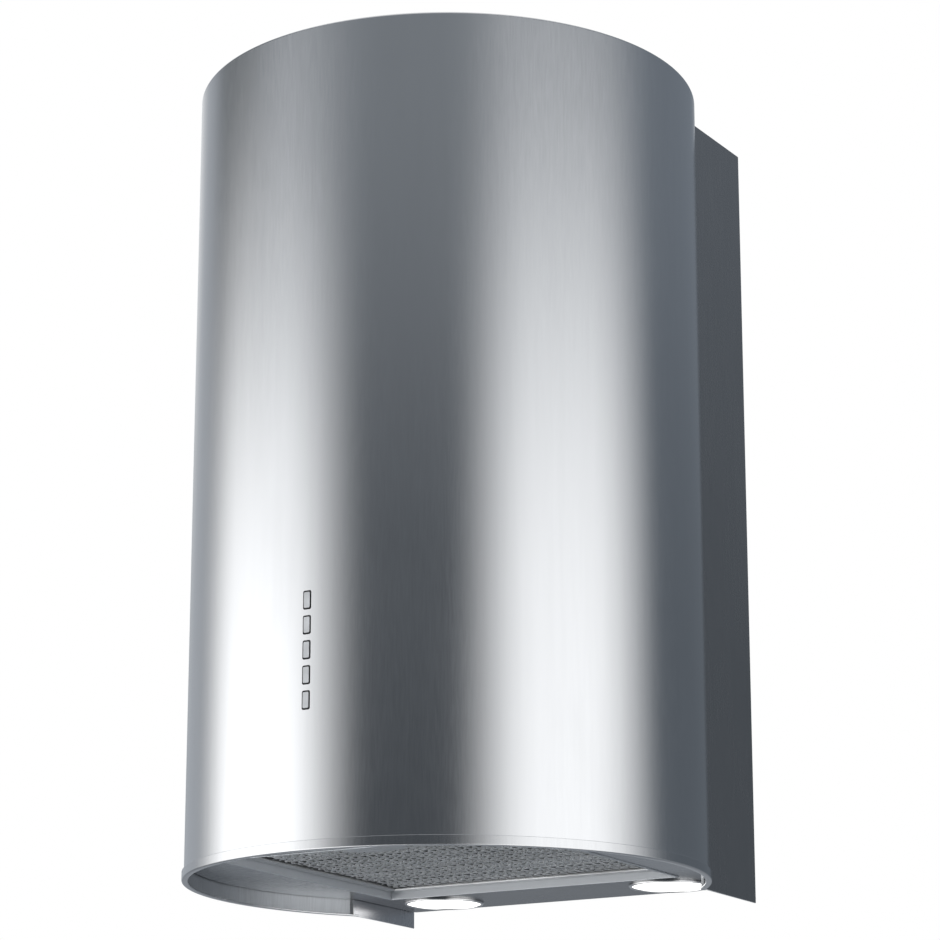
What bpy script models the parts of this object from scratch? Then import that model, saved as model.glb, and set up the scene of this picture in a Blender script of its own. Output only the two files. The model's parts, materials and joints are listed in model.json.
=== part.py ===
"""Wall-mounted cylinder range hood, modelled as separate parts.

Every part is placed in the hood's frame: the cylinder's axis is X = Y = 0, the bottom rim is Z = 0, the front
faces -Y and the wall is at +Y. All parts hang from one empty, which moves that frame so that the world's
origin is where the wall bracket meets the wall. Units are metres.
"""

from math import acos, asin, cos, pi, radians, sin, sqrt

import bmesh
import bpy
from mathutils import Euler, Matrix, Vector

# Clearances
GAP = 0.0003  # between two parts that touch
RUNNING = 0.0004  # between a part that moves and what guides it

# Casing
SHELL_RADIUS = 0.195
SHELL_HEIGHT = 0.616
SHEET = 0.001  # casing sheet
SHELL_HEM = 0.012  # inward fold along the shell's top edge
SIDE_PANEL_INSET = 0.040  # from the shell's widest point to a side panel's outer face
SIDE_PANEL_LAP = 0.004  # how far a side panel reaches inside the shell
WALL_DISTANCE = 0.208  # cylinder axis to wall
SHELL_STEPS = 96

# Bottom rim
RIM_LIP = 0.002  # how far the rim stands out from the shell
RIM_HEIGHT = 0.007
RIM_FLANGE = 0.005  # how far the rim reaches inwards under the shell
RIM_ROUNDING = 0.0013

# Top plate and rear plate
TOP_RECESS = 0.060  # from the shell's top down to the top plate
PLATE = 0.0012
PLATE_MARGIN = 0.0015  # from a plate's edge to the casing
REAR_SPACE = 0.008  # from the wall to the rear plate's back face
REAR_FLANGE = 0.018
REAR_FOOT = 0.012  # from the underside panel up to the rear plate
CABLE_HOLE_RADIUS = 0.012
CABLE_DROP = 0.060  # from the cable gland down to the cable hole

# Wall bracket
BRACKET_LENGTH = 0.240
BRACKET_HEIGHT = 0.044
BRACKET_HOOK = 0.012
BRACKET_THICKNESS = 0.0015
BRACKET_BELOW_TOP = 0.136  # from the shell's top down to the bracket's middle
BRACKET_HOOK_STEP = 0.004
BRACKET_SCREW_REACH = 0.090
SCREW_RADIUS = 0.0024
SCREW_HEAD_RADIUS = 0.0045
SCREW_HEAD = 0.0016
SCREW_FACE_RADIUS = 0.0032  # the flat of the rounded head

# Underside panel and filter
PANEL_RECESS = 0.013  # from the rim's underside up to the panel
OPENING_SIDE_MARGIN = 0.0285  # from a side panel to the filter opening
OPENING_CORNER_MARGIN = 0.024  # from the shell to the opening's front corners
SURROUND_HEIGHT = 0.018
SURROUND_FLANGE = 0.010
FILTER_GAP = 0.0012  # each side between the filter and its surround
FILTER_REAR_GAP = 0.002
FILTER_RECESS = 0.005  # from the panel up to the filter frame
FILTER_THICKNESS = 0.009
FILTER_BAR = 0.009
MESH_THICKNESS = 0.006
PIVOT_RADIUS = 0.0025
PIVOT_FROM_REAR = 0.006
PIVOT_LENGTH = 0.004
LATCH_WIDTH = 0.050
LATCH_DEPTH = 0.027
LATCH_THICKNESS = 0.002
LATCH_DROP = 0.0006  # from the panel's face up to the latch
LATCH_STEM_WIDTH = 0.020

# Lamps, in the strip between the filter opening and the wall
LAMP_SIDE_MARGIN = 0.0535  # from a side panel to a lamp's centre
LAMP_RADIUS = 0.0265
LAMP_TO_OPENING = 0.0115  # from a lamp's hole to the filter opening
BEZEL_SHOULDER = 0.0025  # from a lens's edge to the lamp hole in the panel
BEZEL_COVER = 0.0030  # from the lamp hole to the bezel's edge
BEZEL_DROP = 0.002  # how far a bezel hangs below the panel
BEZEL_TUBE = 0.012
LENS_THICKNESS = 0.002
LENS_DOME = 0.0006
HOLDER_HEIGHT = 0.016
HOLDER_WALL = 0.002

# Buttons and their electronics
BUTTON_COUNT = 5
BUTTON_PITCH = 0.018
BUTTON_LOWEST = 0.106  # rim to the centre of the lowest button
BUTTON_WIDTH = 0.0048
BUTTON_HEIGHT = 0.0114
BUTTON_CORNER = 0.0008
BUTTON_GAP = 0.0008  # shadow gap round each button
BUTTON_PROUD = 0.0006
BUTTON_TRAVEL = 0.002
BUTTON_FLANGE = 0.0012
BUTTON_FLANGE_MARGIN = 0.0018
STEM_WIDTH = 0.0036
STEM_HEIGHT = 0.0080
STEM_LENGTH = 0.0070
GUIDE_THICKNESS = 0.002
GUIDE_MARGIN = 0.006
HOUSING_WIDTH = 0.056
HOUSING_DEPTH = 0.026
HOUSING_WALL = 0.002
HOUSING_MARGIN = 0.016
BOARD_THICKNESS = 0.0016
SWITCH_SIZE = 0.006
SWITCH_HEIGHT = 0.0035

# Blower
WHEEL_RADIUS = 0.075
BLADE_DEPTH = 0.012  # radial depth of the ring of blades
BLADE_CHORD = 0.0108
BLADE_THICKNESS = 0.0012
BLADE_COUNT = 22
BLADE_ANGLE = radians(35)
WHEEL_RING = 0.003
WHEEL_END_GAP = 0.004
WHEEL_DISC = 0.002
HUB_RADIUS = 0.012
HUB_LENGTH = 0.014
SHAFT_RADIUS = 0.004
BLOWER_WIDTH = 0.150
SCROLL_SHEET = 0.0015
SCROLL_START_GAP = 0.007  # wheel to the scroll at its tongue
SCROLL_GROWTH = 0.036  # tongue to the far wall
SCROLL_OUTLET_MARGIN = 0.008
SCROLL_OUTLET_RISE = 0.130
SCROLL_STEPS = 26
INLET_RADIUS = 0.060
MOTOR_RADIUS = 0.042
MOTOR_LENGTH = 0.058
MOTOR_CHAMFER = 0.004
MOTOR_BOSS_RADIUS = 0.010
MOTOR_ARM_WIDTH = 0.024
MOTOR_ARM_REACH = 0.010
CAPACITOR_RADIUS = 0.016
CAPACITOR_HEIGHT = 0.060
BRACE_WIDTH = 0.040
BRACE_FOOT = 0.020

# Outlet collar and flaps
COLLAR_RADIUS = 0.075
COLLAR_HEIGHT = 0.048
COLLAR_WALL = 0.0012
COLLAR_FLANGE = 0.013
FLAP_HEIGHT = 0.012  # top plate to the flaps' pin
FLAP_THICKNESS = 0.001
FLAP_PIN_RADIUS = 0.002
FLAP_PIN_GAP = 0.0016
ROUND_STEPS = 48
SMALL_STEPS = 24

# Electrical boxes
TRANSFORMER_SIZE = Vector((0.070, 0.030, 0.028))
TRANSFORMER_ROUNDING = 0.002
TERMINAL_SIZE = Vector((0.100, 0.034, 0.060))
TERMINAL_WALL = 0.002
TERMINAL_LID_ROUNDING = 0.0007
TERMINAL_OFFSET = 0.080  # to the left of the centre line
TERMINAL_BELOW_TOP_PLATE = 0.030
GLAND_RADIUS = 0.009
GLAND_NECK_RADIUS = 0.0063
GLAND_BORE = 0.004
GLAND_LENGTH = 0.016

# Places that follow from the sizes above
SIDE_PANEL_X = SHELL_RADIUS - SIDE_PANEL_INSET
SHELL_END_Y = sqrt(SHELL_RADIUS**2 - SIDE_PANEL_X**2)
TOP_PLATE_Z = SHELL_HEIGHT - TOP_RECESS
BRACKET_Z = SHELL_HEIGHT - BRACKET_BELOW_TOP
REAR_PLATE_Y = WALL_DISTANCE - REAR_SPACE
PANEL_TOP = PANEL_RECESS + PLATE
OPENING_X = SIDE_PANEL_X - OPENING_SIDE_MARGIN
LAMP_HOLE_RADIUS = LAMP_RADIUS + BEZEL_SHOULDER
BEZEL_RADIUS = LAMP_HOLE_RADIUS + BEZEL_COVER
LAMP_STRIP = 2 * (LAMP_HOLE_RADIUS + LAMP_TO_OPENING)
OPENING_REAR = WALL_DISTANCE - LAMP_STRIP
OPENING_FRONT = -sqrt((SHELL_RADIUS - OPENING_CORNER_MARGIN) ** 2 - OPENING_X**2)
FILTER_X = OPENING_X - FILTER_GAP
FILTER_REAR = OPENING_REAR - FILTER_REAR_GAP
FILTER_FRONT = OPENING_FRONT + FILTER_GAP
FILTER_Z = PANEL_RECESS + FILTER_RECESS
PIVOT_Y = FILTER_REAR - PIVOT_FROM_REAR
PIVOT_Z = FILTER_Z + FILTER_THICKNESS / 2
LAMP_X = SIDE_PANEL_X - LAMP_SIDE_MARGIN
LAMP_Y = WALL_DISTANCE - LAMP_STRIP / 2
SHELL_INNER = SHELL_RADIUS - SHEET
BUTTON_MIDDLE_Z = BUTTON_LOWEST + BUTTON_PITCH * (BUTTON_COUNT - 1) / 2
FLANGE_FRONT_Y = -SHELL_INNER + GAP
GUIDE_Y = FLANGE_FRONT_Y + BUTTON_FLANGE + BUTTON_TRAVEL + GAP
STEM_END_Y = FLANGE_FRONT_Y + BUTTON_FLANGE + STEM_LENGTH
SWITCH_Y = STEM_END_Y + BUTTON_TRAVEL + GAP
HOUSING_Y = GUIDE_Y + GUIDE_THICKNESS + GAP
SCROLL_START = WHEEL_RADIUS + SCROLL_START_GAP
SCROLL_END = SCROLL_START + SCROLL_GROWTH
SCROLL_OUTLET = 2 * (COLLAR_RADIUS + SCROLL_OUTLET_MARGIN)
BLOWER_Y = SCROLL_OUTLET / 2 - SCROLL_END  # puts the outlet's middle on the cylinder's axis
BLOWER_Z = TOP_PLATE_Z - GAP - SCROLL_OUTLET_RISE
SIDE_PLATE_X = BLOWER_WIDTH / 2
WHEEL_HALF = SIDE_PLATE_X - SCROLL_SHEET - WHEEL_END_GAP
MOTOR_X = HUB_LENGTH / 2 + GAP
COLLAR_Z = TOP_PLATE_Z + PLATE + GAP
FLAP_Z = TOP_PLATE_Z + PLATE + FLAP_HEIGHT
FLAP_RADIUS = COLLAR_RADIUS - COLLAR_WALL - RUNNING

# Turns that lay a flat outline, drawn in X and Y, into another plane
FACING_X = Euler((pi / 2, 0, pi / 2))  # outline X and Y become world Y and Z
FACING_Y = Euler((pi / 2, 0, 0))  # outline X and Y become world X and Z
AXIS_X = Euler((0, pi / 2, 0))  # a turned part's axis becomes world X
AXIS_Y = Euler((-pi / 2, 0, 0))  # a turned part's axis becomes world Y

# Finishes: colour, roughness, metallic
STAINLESS = ((0.60, 0.61, 0.63), 0.30, 1.0)
GALVANISED = ((0.52, 0.54, 0.56), 0.45, 1.0)
ALUMINIUM = ((0.70, 0.71, 0.72), 0.35, 1.0)
CHROME = ((0.80, 0.81, 0.83), 0.12, 1.0)
GLASS = ((0.96, 0.97, 1.00), 0.10, 0.0)
GREY_PLASTIC = ((0.62, 0.64, 0.66), 0.45, 0.0)
DARK_PLASTIC = ((0.05, 0.05, 0.055), 0.50, 0.0)
WHITE_PLASTIC = ((0.78, 0.78, 0.76), 0.50, 0.0)
BOARD_GREEN = ((0.03, 0.20, 0.09), 0.45, 0.0)


# ---------------------------------------------------------------- scene and collections


def clear_scene():
    for obj in list(bpy.data.objects):
        bpy.data.objects.remove(obj, do_unlink=True)


def new_collection(name):
    collection = bpy.data.collections.new(name)
    bpy.context.scene.collection.children.link(collection)
    return collection


clear_scene()
PARTS = new_collection("cylinder_range_hood")
CUTTERS = new_collection("cutters")
HOOD = bpy.data.objects.new("hood", None)
PARTS.objects.link(HOOD)
HOOD.location = (0, -WALL_DISTANCE, -BRACKET_Z)


def as_part(obj, finish):
    """Makes the object a named part of the hood, with its own material."""
    colour, roughness, metallic = finish
    material = bpy.data.materials.new(obj.name)
    material.use_nodes = True
    shader = material.node_tree.nodes["Principled BSDF"]
    shader.inputs["Base Color"].default_value = (*colour, 1)
    shader.inputs["Roughness"].default_value = roughness
    shader.inputs["Metallic"].default_value = metallic
    obj.data.materials.clear()
    obj.data.materials.append(material)
    obj.parent = HOOD
    PARTS.objects.link(obj)
    return obj


def as_helper(obj):
    """Keeps the object as a shape that another one is cut by or joined with."""
    obj.parent = HOOD
    obj.hide_render = True
    obj.display_type = "WIRE"
    CUTTERS.objects.link(obj)
    return obj


# ---------------------------------------------------------------- outlines


def arc(radius, start, end, steps, centre=(0, 0)):
    """Points on an arc, both ends included; angles in radians from +X towards +Y."""
    turn = [start + (end - start) * step / steps for step in range(steps + 1)]
    return [(centre[0] + radius * cos(a), centre[1] + radius * sin(a)) for a in turn]


def circle(radius, steps, centre=(0, 0)):
    return arc(radius, 0, 2 * pi, steps, centre)[:-1]


def rectangle(low, high):
    return [low, (high[0], low[1]), high, (low[0], high[1])]


def rounded_rectangle(width, height, radius, steps=3):
    x, y = width / 2 - radius, height / 2 - radius
    corners = [(x, y), (-x, y), (-x, -y), (x, -y)]
    outline = []
    for number, corner in enumerate(corners):
        outline += arc(radius, number * pi / 2, (number + 1) * pi / 2, steps, corner)
    return outline


def plate_outline():
    """The casing's inner outline, a plate margin inside it: round in front, straight beside and behind."""
    radius = SHELL_INNER - PLATE_MARGIN
    x = SIDE_PANEL_X - SHEET - PLATE_MARGIN
    y = SHELL_END_Y - SIDE_PANEL_LAP - PLATE_MARGIN
    end = asin(y / radius)
    front = arc(radius, -pi - end, end, 2 * SHELL_STEPS // 3)
    rear = WALL_DISTANCE - GAP
    return front + [(x, y), (x, rear), (-x, rear), (-x, y)]


# ---------------------------------------------------------------- shapes


def mesh_object(name, mesh, location=(0, 0, 0), turn=None):
    obj = bpy.data.objects.new(name, mesh)
    obj.location = location
    if turn:
        obj.rotation_euler = turn
    return obj


def smooth(mesh):
    mesh.shade_smooth()
    mesh.set_sharp_from_angle(angle=radians(35))


def block(name, low, high, bevel=0.0):
    """A box between two corners, with its edges rounded by a Bevel modifier."""
    low, high = Vector(low), Vector(high)
    bm = bmesh.new()
    size = high - low
    bmesh.ops.create_cube(bm, size=1, matrix=Matrix.Diagonal((*size, 1)))
    mesh = bpy.data.meshes.new(name)
    bm.to_mesh(mesh)
    bm.free()
    obj = mesh_object(name, mesh, (low + high) / 2)
    if bevel:
        modifier = obj.modifiers.new("rounded edges", "BEVEL")
        modifier.width = bevel
        modifier.segments = 2
    return obj


def flat(name, outlines, thickness, location=(0, 0, 0), turn=None):
    """A plate with the given outer outline and holes, standing up from its location by its thickness."""
    curve = bpy.data.curves.new(name, "CURVE")
    curve.dimensions = "2D"
    curve.fill_mode = "BOTH"
    curve.extrude = thickness / 2
    for outline in outlines:
        spline = curve.splines.new("POLY")
        spline.points.add(len(outline) - 1)
        for point, place in zip(spline.points, outline):
            point.co = (*place, 0, 1)
        spline.use_cyclic_u = True
    guide = bpy.data.objects.new(name + " outline", curve)
    bpy.context.scene.collection.objects.link(guide)
    graph = bpy.context.evaluated_depsgraph_get()
    mesh = bpy.data.meshes.new_from_object(guide.evaluated_get(graph))
    bpy.data.objects.remove(guide)
    bm = bmesh.new()
    bm.from_mesh(mesh)
    bmesh.ops.translate(bm, verts=bm.verts, vec=(0, 0, thickness / 2))
    bmesh.ops.remove_doubles(bm, verts=bm.verts, dist=1e-6)
    bm.to_mesh(mesh)
    bm.free()
    return mesh_object(name, mesh, location, turn)


def folded(name, path, length, thickness, closed=False, location=(0, 0, 0), turn=None):
    """Sheet bent along a path in X and Y and as wide as the length along Z, thickened to the path's left."""
    bm = bmesh.new()
    verts = [bm.verts.new((*place, 0)) for place in path]
    ends = verts[1:] + verts[:1] if closed else verts[1:]
    edges = [bm.edges.new(pair) for pair in zip(verts, ends)]
    made = bmesh.ops.extrude_edge_only(bm, edges=edges)["geom"]
    moved = [item for item in made if isinstance(item, bmesh.types.BMVert)]
    bmesh.ops.translate(bm, verts=moved, vec=(0, 0, length))
    mesh = bpy.data.meshes.new(name)
    bm.to_mesh(mesh)
    bm.free()
    obj = mesh_object(name, mesh, location, turn)
    solid = obj.modifiers.new("sheet", "SOLIDIFY")
    solid.thickness = thickness
    solid.offset = 1
    solid.use_even_offset = True
    return obj


def turned(name, profile, steps, location=(0, 0, 0), turn=None, closed=True):
    """A turned shape from a profile of (radius, height) points, down its outer side first."""
    mesh = bpy.data.meshes.new(name)
    count = len(profile)
    edges = [(n, n + 1) for n in range(count - 1)] + ([(count - 1, 0)] if closed else [])
    mesh.from_pydata([(radius, 0, height) for radius, height in profile], edges, [])
    obj = mesh_object(name, mesh, location, turn)
    screw = obj.modifiers.new("turned", "SCREW")
    screw.steps = screw.render_steps = steps
    screw.use_merge_vertices = True
    screw.merge_threshold = 1e-5
    screw.use_smooth_shade = True
    return obj


def rod(name, radius, length, steps, location=(0, 0, 0), turn=None):
    """A solid cylinder that stands on its location."""
    profile = [(0, length), (radius, length), (radius, 0), (0, 0)]
    return turned(name, profile, steps, location, turn, closed=False)


def shift_up(obj, height):
    """Moves the mesh up within its object, so that the object's origin lies elsewhere in it."""
    obj.data.transform(Matrix.Translation((0, 0, height)))


def change(obj, operation, other):
    modifier = obj.modifiers.new(operation.lower(), "BOOLEAN")
    modifier.operation = operation
    modifier.solver = "EXACT"
    modifier.object = as_helper(other)


def cut(obj, *others):
    for other in others:
        change(obj, "DIFFERENCE", other)


def join(obj, *others):
    for other in others:
        change(obj, "UNION", other)


# ---------------------------------------------------------------- casing


def rear_cutter(name):
    """The space between the side panels' outer faces, behind the cylinder's axis."""
    x = SIDE_PANEL_X + GAP
    return block(name, (-x, 0, -PLATE), (x, 2 * SHELL_RADIUS, SHELL_HEIGHT + PLATE))


def button_places():
    return [BUTTON_LOWEST + BUTTON_PITCH * number for number in range(BUTTON_COUNT)]


def make_front_shell():
    bottom = PLATE + GAP
    profile = [
        (SHELL_RADIUS - SHELL_HEM, SHELL_HEIGHT),
        (SHELL_RADIUS, SHELL_HEIGHT),
        (SHELL_RADIUS, bottom),
    ]
    shell = turned("front_shell", profile, SHELL_STEPS, closed=False)
    sheet = shell.modifiers.new("sheet", "SOLIDIFY")
    sheet.thickness = SHEET
    sheet.offset = -1
    sheet.use_even_offset = True
    cut(shell, rear_cutter("shell rear cutter"))
    window = rounded_rectangle(
        BUTTON_WIDTH + 2 * BUTTON_GAP, BUTTON_HEIGHT + 2 * BUTTON_GAP, BUTTON_CORNER + BUTTON_GAP
    )
    for number, height in enumerate(button_places(), 1):
        start = (0, -SHELL_INNER + SHEET, height)
        cut(shell, flat(f"window {number}", [window], 3 * SHEET, start, FACING_Y))
    as_part(shell, STAINLESS)


def make_bottom_rim():
    lip = SHELL_RADIUS + RIM_LIP
    seat = SHELL_RADIUS + GAP
    top = arc(RIM_ROUNDING, pi / 2, 0, 3, (lip - RIM_ROUNDING, RIM_HEIGHT - RIM_ROUNDING))
    bottom = arc(RIM_ROUNDING, 0, -pi / 2, 3, (lip - RIM_ROUNDING, RIM_ROUNDING))
    inner = SHELL_RADIUS - RIM_FLANGE
    profile = top + bottom + [(inner, 0), (inner, PLATE), (seat, PLATE), (seat, RIM_HEIGHT)]
    rim = turned("bottom_rim", profile, SHELL_STEPS)
    cut(rim, rear_cutter("rim rear cutter"))
    as_part(rim, STAINLESS)


def make_side_panels():
    outline = rectangle((SHELL_END_Y - SIDE_PANEL_LAP, 0), (WALL_DISTANCE, SHELL_HEIGHT))
    for name, x in (("left", -SIDE_PANEL_X), ("right", SIDE_PANEL_X - SHEET)):
        as_part(flat(f"side_panel_{name}", [outline], SHEET, (x, 0, 0), FACING_X), STAINLESS)


def make_rear_plate():
    x = SIDE_PANEL_X - SHEET - GAP
    y = REAR_PLATE_Y
    low = PANEL_TOP + REAR_FOOT
    path = [(x, y - REAR_FLANGE), (x, y), (-x, y), (-x, y - REAR_FLANGE)]
    height = TOP_PLATE_Z - GAP - low
    plate = folded("rear_plate", path, height, PLATE, location=(0, 0, low))
    hole_z = TOP_PLATE_Z - TERMINAL_BELOW_TOP_PLATE - TERMINAL_SIZE.z - GLAND_LENGTH - CABLE_DROP
    start = (-TERMINAL_OFFSET, y - 2 * PLATE, hole_z)
    cut(plate, rod("cable hole", CABLE_HOLE_RADIUS, 4 * PLATE, SMALL_STEPS, start, AXIS_Y))
    as_part(plate, GALVANISED)


def make_wall_bracket():
    wall = WALL_DISTANCE
    low, high = BRACKET_Z - BRACKET_HEIGHT / 2, BRACKET_Z + BRACKET_HEIGHT / 2
    step = wall - BRACKET_HOOK_STEP
    path = [(wall, low), (wall, high), (step, high), (step, high + BRACKET_HOOK)]
    bracket = folded(
        "wall_bracket",
        path,
        BRACKET_LENGTH,
        BRACKET_THICKNESS,
        location=(-BRACKET_LENGTH / 2, 0, 0),
        turn=FACING_X,
    )
    head = wall - BRACKET_THICKNESS - GAP
    shank = BRACKET_THICKNESS + GAP / 2
    profile = [(0, SCREW_HEAD + shank), (SCREW_RADIUS, SCREW_HEAD + shank), (SCREW_RADIUS, SCREW_HEAD)]
    profile += [(SCREW_HEAD_RADIUS, SCREW_HEAD), (SCREW_HEAD_RADIUS, SCREW_HEAD / 2)]
    profile += [(SCREW_FACE_RADIUS, 0), (0, 0)]
    for name, x in (("left", -BRACKET_SCREW_REACH), ("right", BRACKET_SCREW_REACH)):
        hole = (x, wall - 3 * BRACKET_THICKNESS, BRACKET_Z)
        length = 6 * BRACKET_THICKNESS
        cut(bracket, rod(f"screw hole {name}", SCREW_RADIUS + GAP, length, SMALL_STEPS, hole, AXIS_Y))
        place = (x, head - SCREW_HEAD, BRACKET_Z)
        as_part(turned(f"wall_screw_{name}", profile, SMALL_STEPS, place, AXIS_Y, closed=False), CHROME)
    as_part(bracket, GALVANISED)


def make_top_plate():
    hole = circle(COLLAR_RADIUS - COLLAR_WALL, ROUND_STEPS)
    as_part(flat("top_plate", [plate_outline(), hole], PLATE, (0, 0, TOP_PLATE_Z)), GALVANISED)


# ---------------------------------------------------------------- underside, filter and lamps


def make_underside_panel():
    opening = rectangle(
        (-OPENING_X - SHEET - GAP, OPENING_FRONT - SHEET - GAP),
        (OPENING_X + SHEET + GAP, OPENING_REAR + SHEET + GAP),
    )
    lamps = [circle(LAMP_HOLE_RADIUS, SMALL_STEPS, (x, LAMP_Y)) for x in (-LAMP_X, LAMP_X)]
    outlines = [plate_outline(), opening, *lamps]
    as_part(flat("underside_panel", outlines, PLATE, (0, 0, PANEL_RECESS)), STAINLESS)


def make_filter_surround():
    corners = rectangle((-OPENING_X, OPENING_FRONT), (OPENING_X, OPENING_REAR))
    surround = folded(
        "filter_surround",
        corners[::-1],
        SURROUND_HEIGHT,
        SHEET,
        closed=True,
        location=(0, 0, PANEL_RECESS),
    )
    reach = SHEET + SURROUND_FLANGE
    outer = rectangle(
        (-OPENING_X - reach, OPENING_FRONT - reach), (OPENING_X + reach, OPENING_REAR + reach)
    )
    half = SHEET / 2
    inner = rectangle((-OPENING_X - half, OPENING_FRONT - half), (OPENING_X + half, OPENING_REAR + half))
    join(surround, flat("surround flange", [outer, inner], SHEET, (0, 0, PANEL_TOP + GAP)))
    start = (-2 * OPENING_X, PIVOT_Y, PIVOT_Z)
    cut(surround, rod("pivot holes", PIVOT_RADIUS + RUNNING, 4 * OPENING_X, SMALL_STEPS, start, AXIS_X))
    as_part(surround, STAINLESS)


def make_filter():
    """The frame's origin is on the pivots' axis, where the filter swings."""
    rear, front = FILTER_REAR - PIVOT_Y, FILTER_FRONT - PIVOT_Y
    outer = rectangle((-FILTER_X, front), (FILTER_X, rear))
    bar = FILTER_BAR
    inner = rectangle((-FILTER_X + bar, front + bar), (FILTER_X - bar, rear - bar))
    frame = flat("filter_frame", [outer, inner], FILTER_THICKNESS, (0, PIVOT_Y, PIVOT_Z))
    shift_up(frame, -FILTER_THICKNESS / 2)
    as_part(frame, ALUMINIUM)
    inset = bar + GAP
    half = MESH_THICKNESS / 2
    low = (-FILTER_X + inset, FILTER_FRONT + inset, PIVOT_Z - half)
    high = (FILTER_X - inset, FILTER_REAR - inset, PIVOT_Z + half)
    as_part(block("filter_mesh", low, high), ALUMINIUM)
    for name, x in (("left", -FILTER_X - GAP - PIVOT_LENGTH), ("right", FILTER_X + GAP)):
        place = (x, PIVOT_Y, PIVOT_Z)
        pin = rod(f"filter_pivot_{name}", PIVOT_RADIUS, PIVOT_LENGTH, SMALL_STEPS, place, AXIS_X)
        as_part(pin, CHROME)


def make_filter_latch():
    """A finger tab under the frame's front bar: straight in front, half an ellipse behind."""
    half = LATCH_WIDTH / 2
    straight = LATCH_DEPTH / 2
    round_part = [(x, straight + y * straight / half) for x, y in arc(half, 0, pi, 16)]
    outline = [(-half, 0), (half, 0)] + round_part
    place = (0, FILTER_FRONT, PANEL_RECESS + LATCH_DROP)
    latch = flat("filter_latch", [outline], LATCH_THICKNESS, place)
    stem_half = LATCH_STEM_WIDTH / 2
    low = (-stem_half, FILTER_FRONT + GAP, place[2] + LATCH_THICKNESS / 2)
    high = (stem_half, FILTER_FRONT + FILTER_BAR - GAP, FILTER_Z - GAP)
    join(latch, block("latch stem", low, high))
    as_part(latch, ALUMINIUM)


def make_lamps():
    top = PANEL_RECESS - GAP
    low = PANEL_RECESS - BEZEL_DROP
    inner = LAMP_RADIUS + GAP
    tube = LAMP_HOLE_RADIUS - GAP
    tube_top = PANEL_RECESS + BEZEL_TUBE
    bezel = [(tube, tube_top), (tube, top), (BEZEL_RADIUS, top)]
    bezel += arc(BEZEL_DROP / 2, 0, -pi / 2, 3, (BEZEL_RADIUS - BEZEL_DROP / 2, low + BEZEL_DROP / 2))
    bezel += [(inner, low), (inner, tube_top)]
    lens_low = low + LENS_DOME + GAP
    lens_top = lens_low + LENS_THICKNESS
    lens = [(0, lens_top), (LAMP_RADIUS, lens_top)]
    for share in (1, 1 / 2, 0):
        lens.append((LAMP_RADIUS * share, lens_low - LENS_DOME * (1 - share**2)))
    holder_low = tube_top + GAP
    holder_top = holder_low + HOLDER_HEIGHT
    outer, hollow = LAMP_HOLE_RADIUS, LAMP_HOLE_RADIUS - HOLDER_WALL
    holder = [(0, holder_top), (outer, holder_top), (outer, holder_low), (hollow, holder_low)]
    holder += [(hollow, holder_top - HOLDER_WALL), (0, holder_top - HOLDER_WALL)]
    for name, x in (("left", -LAMP_X), ("right", LAMP_X)):
        place = (x, LAMP_Y, 0)
        as_part(turned(f"lamp_bezel_{name}", bezel, ROUND_STEPS, place), CHROME)
        as_part(turned(f"lamp_lens_{name}", lens, ROUND_STEPS, place, closed=False), GLASS)
        as_part(turned(f"lamp_holder_{name}", holder, SMALL_STEPS, place, closed=False), WHITE_PLASTIC)
    low_corner = Vector((-TRANSFORMER_SIZE.x / 2, LAMP_Y - TRANSFORMER_SIZE.y / 2, PANEL_TOP + GAP))
    high_corner = low_corner + TRANSFORMER_SIZE
    transformer = block("lamp_transformer", low_corner, high_corner, TRANSFORMER_ROUNDING)
    as_part(transformer, DARK_PLASTIC)


# ---------------------------------------------------------------- buttons and electronics


def make_buttons():
    cap = rounded_rectangle(BUTTON_WIDTH, BUTTON_HEIGHT, BUTTON_CORNER)
    front_y = -SHELL_RADIUS - BUTTON_PROUD
    for number, height in enumerate(button_places(), 1):
        back = FLANGE_FRONT_Y + BUTTON_FLANGE / 2
        button = flat(f"button_{number}", [cap], back - front_y, (0, back, height), FACING_Y)
        x, z = BUTTON_WIDTH / 2 + BUTTON_FLANGE_MARGIN, BUTTON_HEIGHT / 2 + BUTTON_FLANGE_MARGIN
        low = (-x, FLANGE_FRONT_Y, height - z)
        high = (x, FLANGE_FRONT_Y + BUTTON_FLANGE, height + z)
        flange = block(f"button flange {number}", low, high)
        low = (-STEM_WIDTH / 2, FLANGE_FRONT_Y + BUTTON_FLANGE / 2, height - STEM_HEIGHT / 2)
        high = (STEM_WIDTH / 2, STEM_END_Y, height + STEM_HEIGHT / 2)
        join(button, flange, block(f"button stem {number}", low, high))
        as_part(button, GREY_PLASTIC)


def make_button_guide():
    height = BUTTON_PITCH * (BUTTON_COUNT - 1) + BUTTON_HEIGHT + 2 * GUIDE_MARGIN
    outer = rounded_rectangle(HOUSING_WIDTH / 2, height, GUIDE_MARGIN / 2)
    hole_x, hole_y = STEM_WIDTH / 2 + RUNNING, STEM_HEIGHT / 2 + RUNNING
    holes = []
    for place in button_places():
        middle = place - BUTTON_MIDDLE_Z
        holes.append(rectangle((-hole_x, middle - hole_y), (hole_x, middle + hole_y)))
    place = (0, GUIDE_Y + GUIDE_THICKNESS, BUTTON_MIDDLE_Z)
    as_part(flat("button_guide", [outer, *holes], GUIDE_THICKNESS, place, FACING_Y), DARK_PLASTIC)


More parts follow.
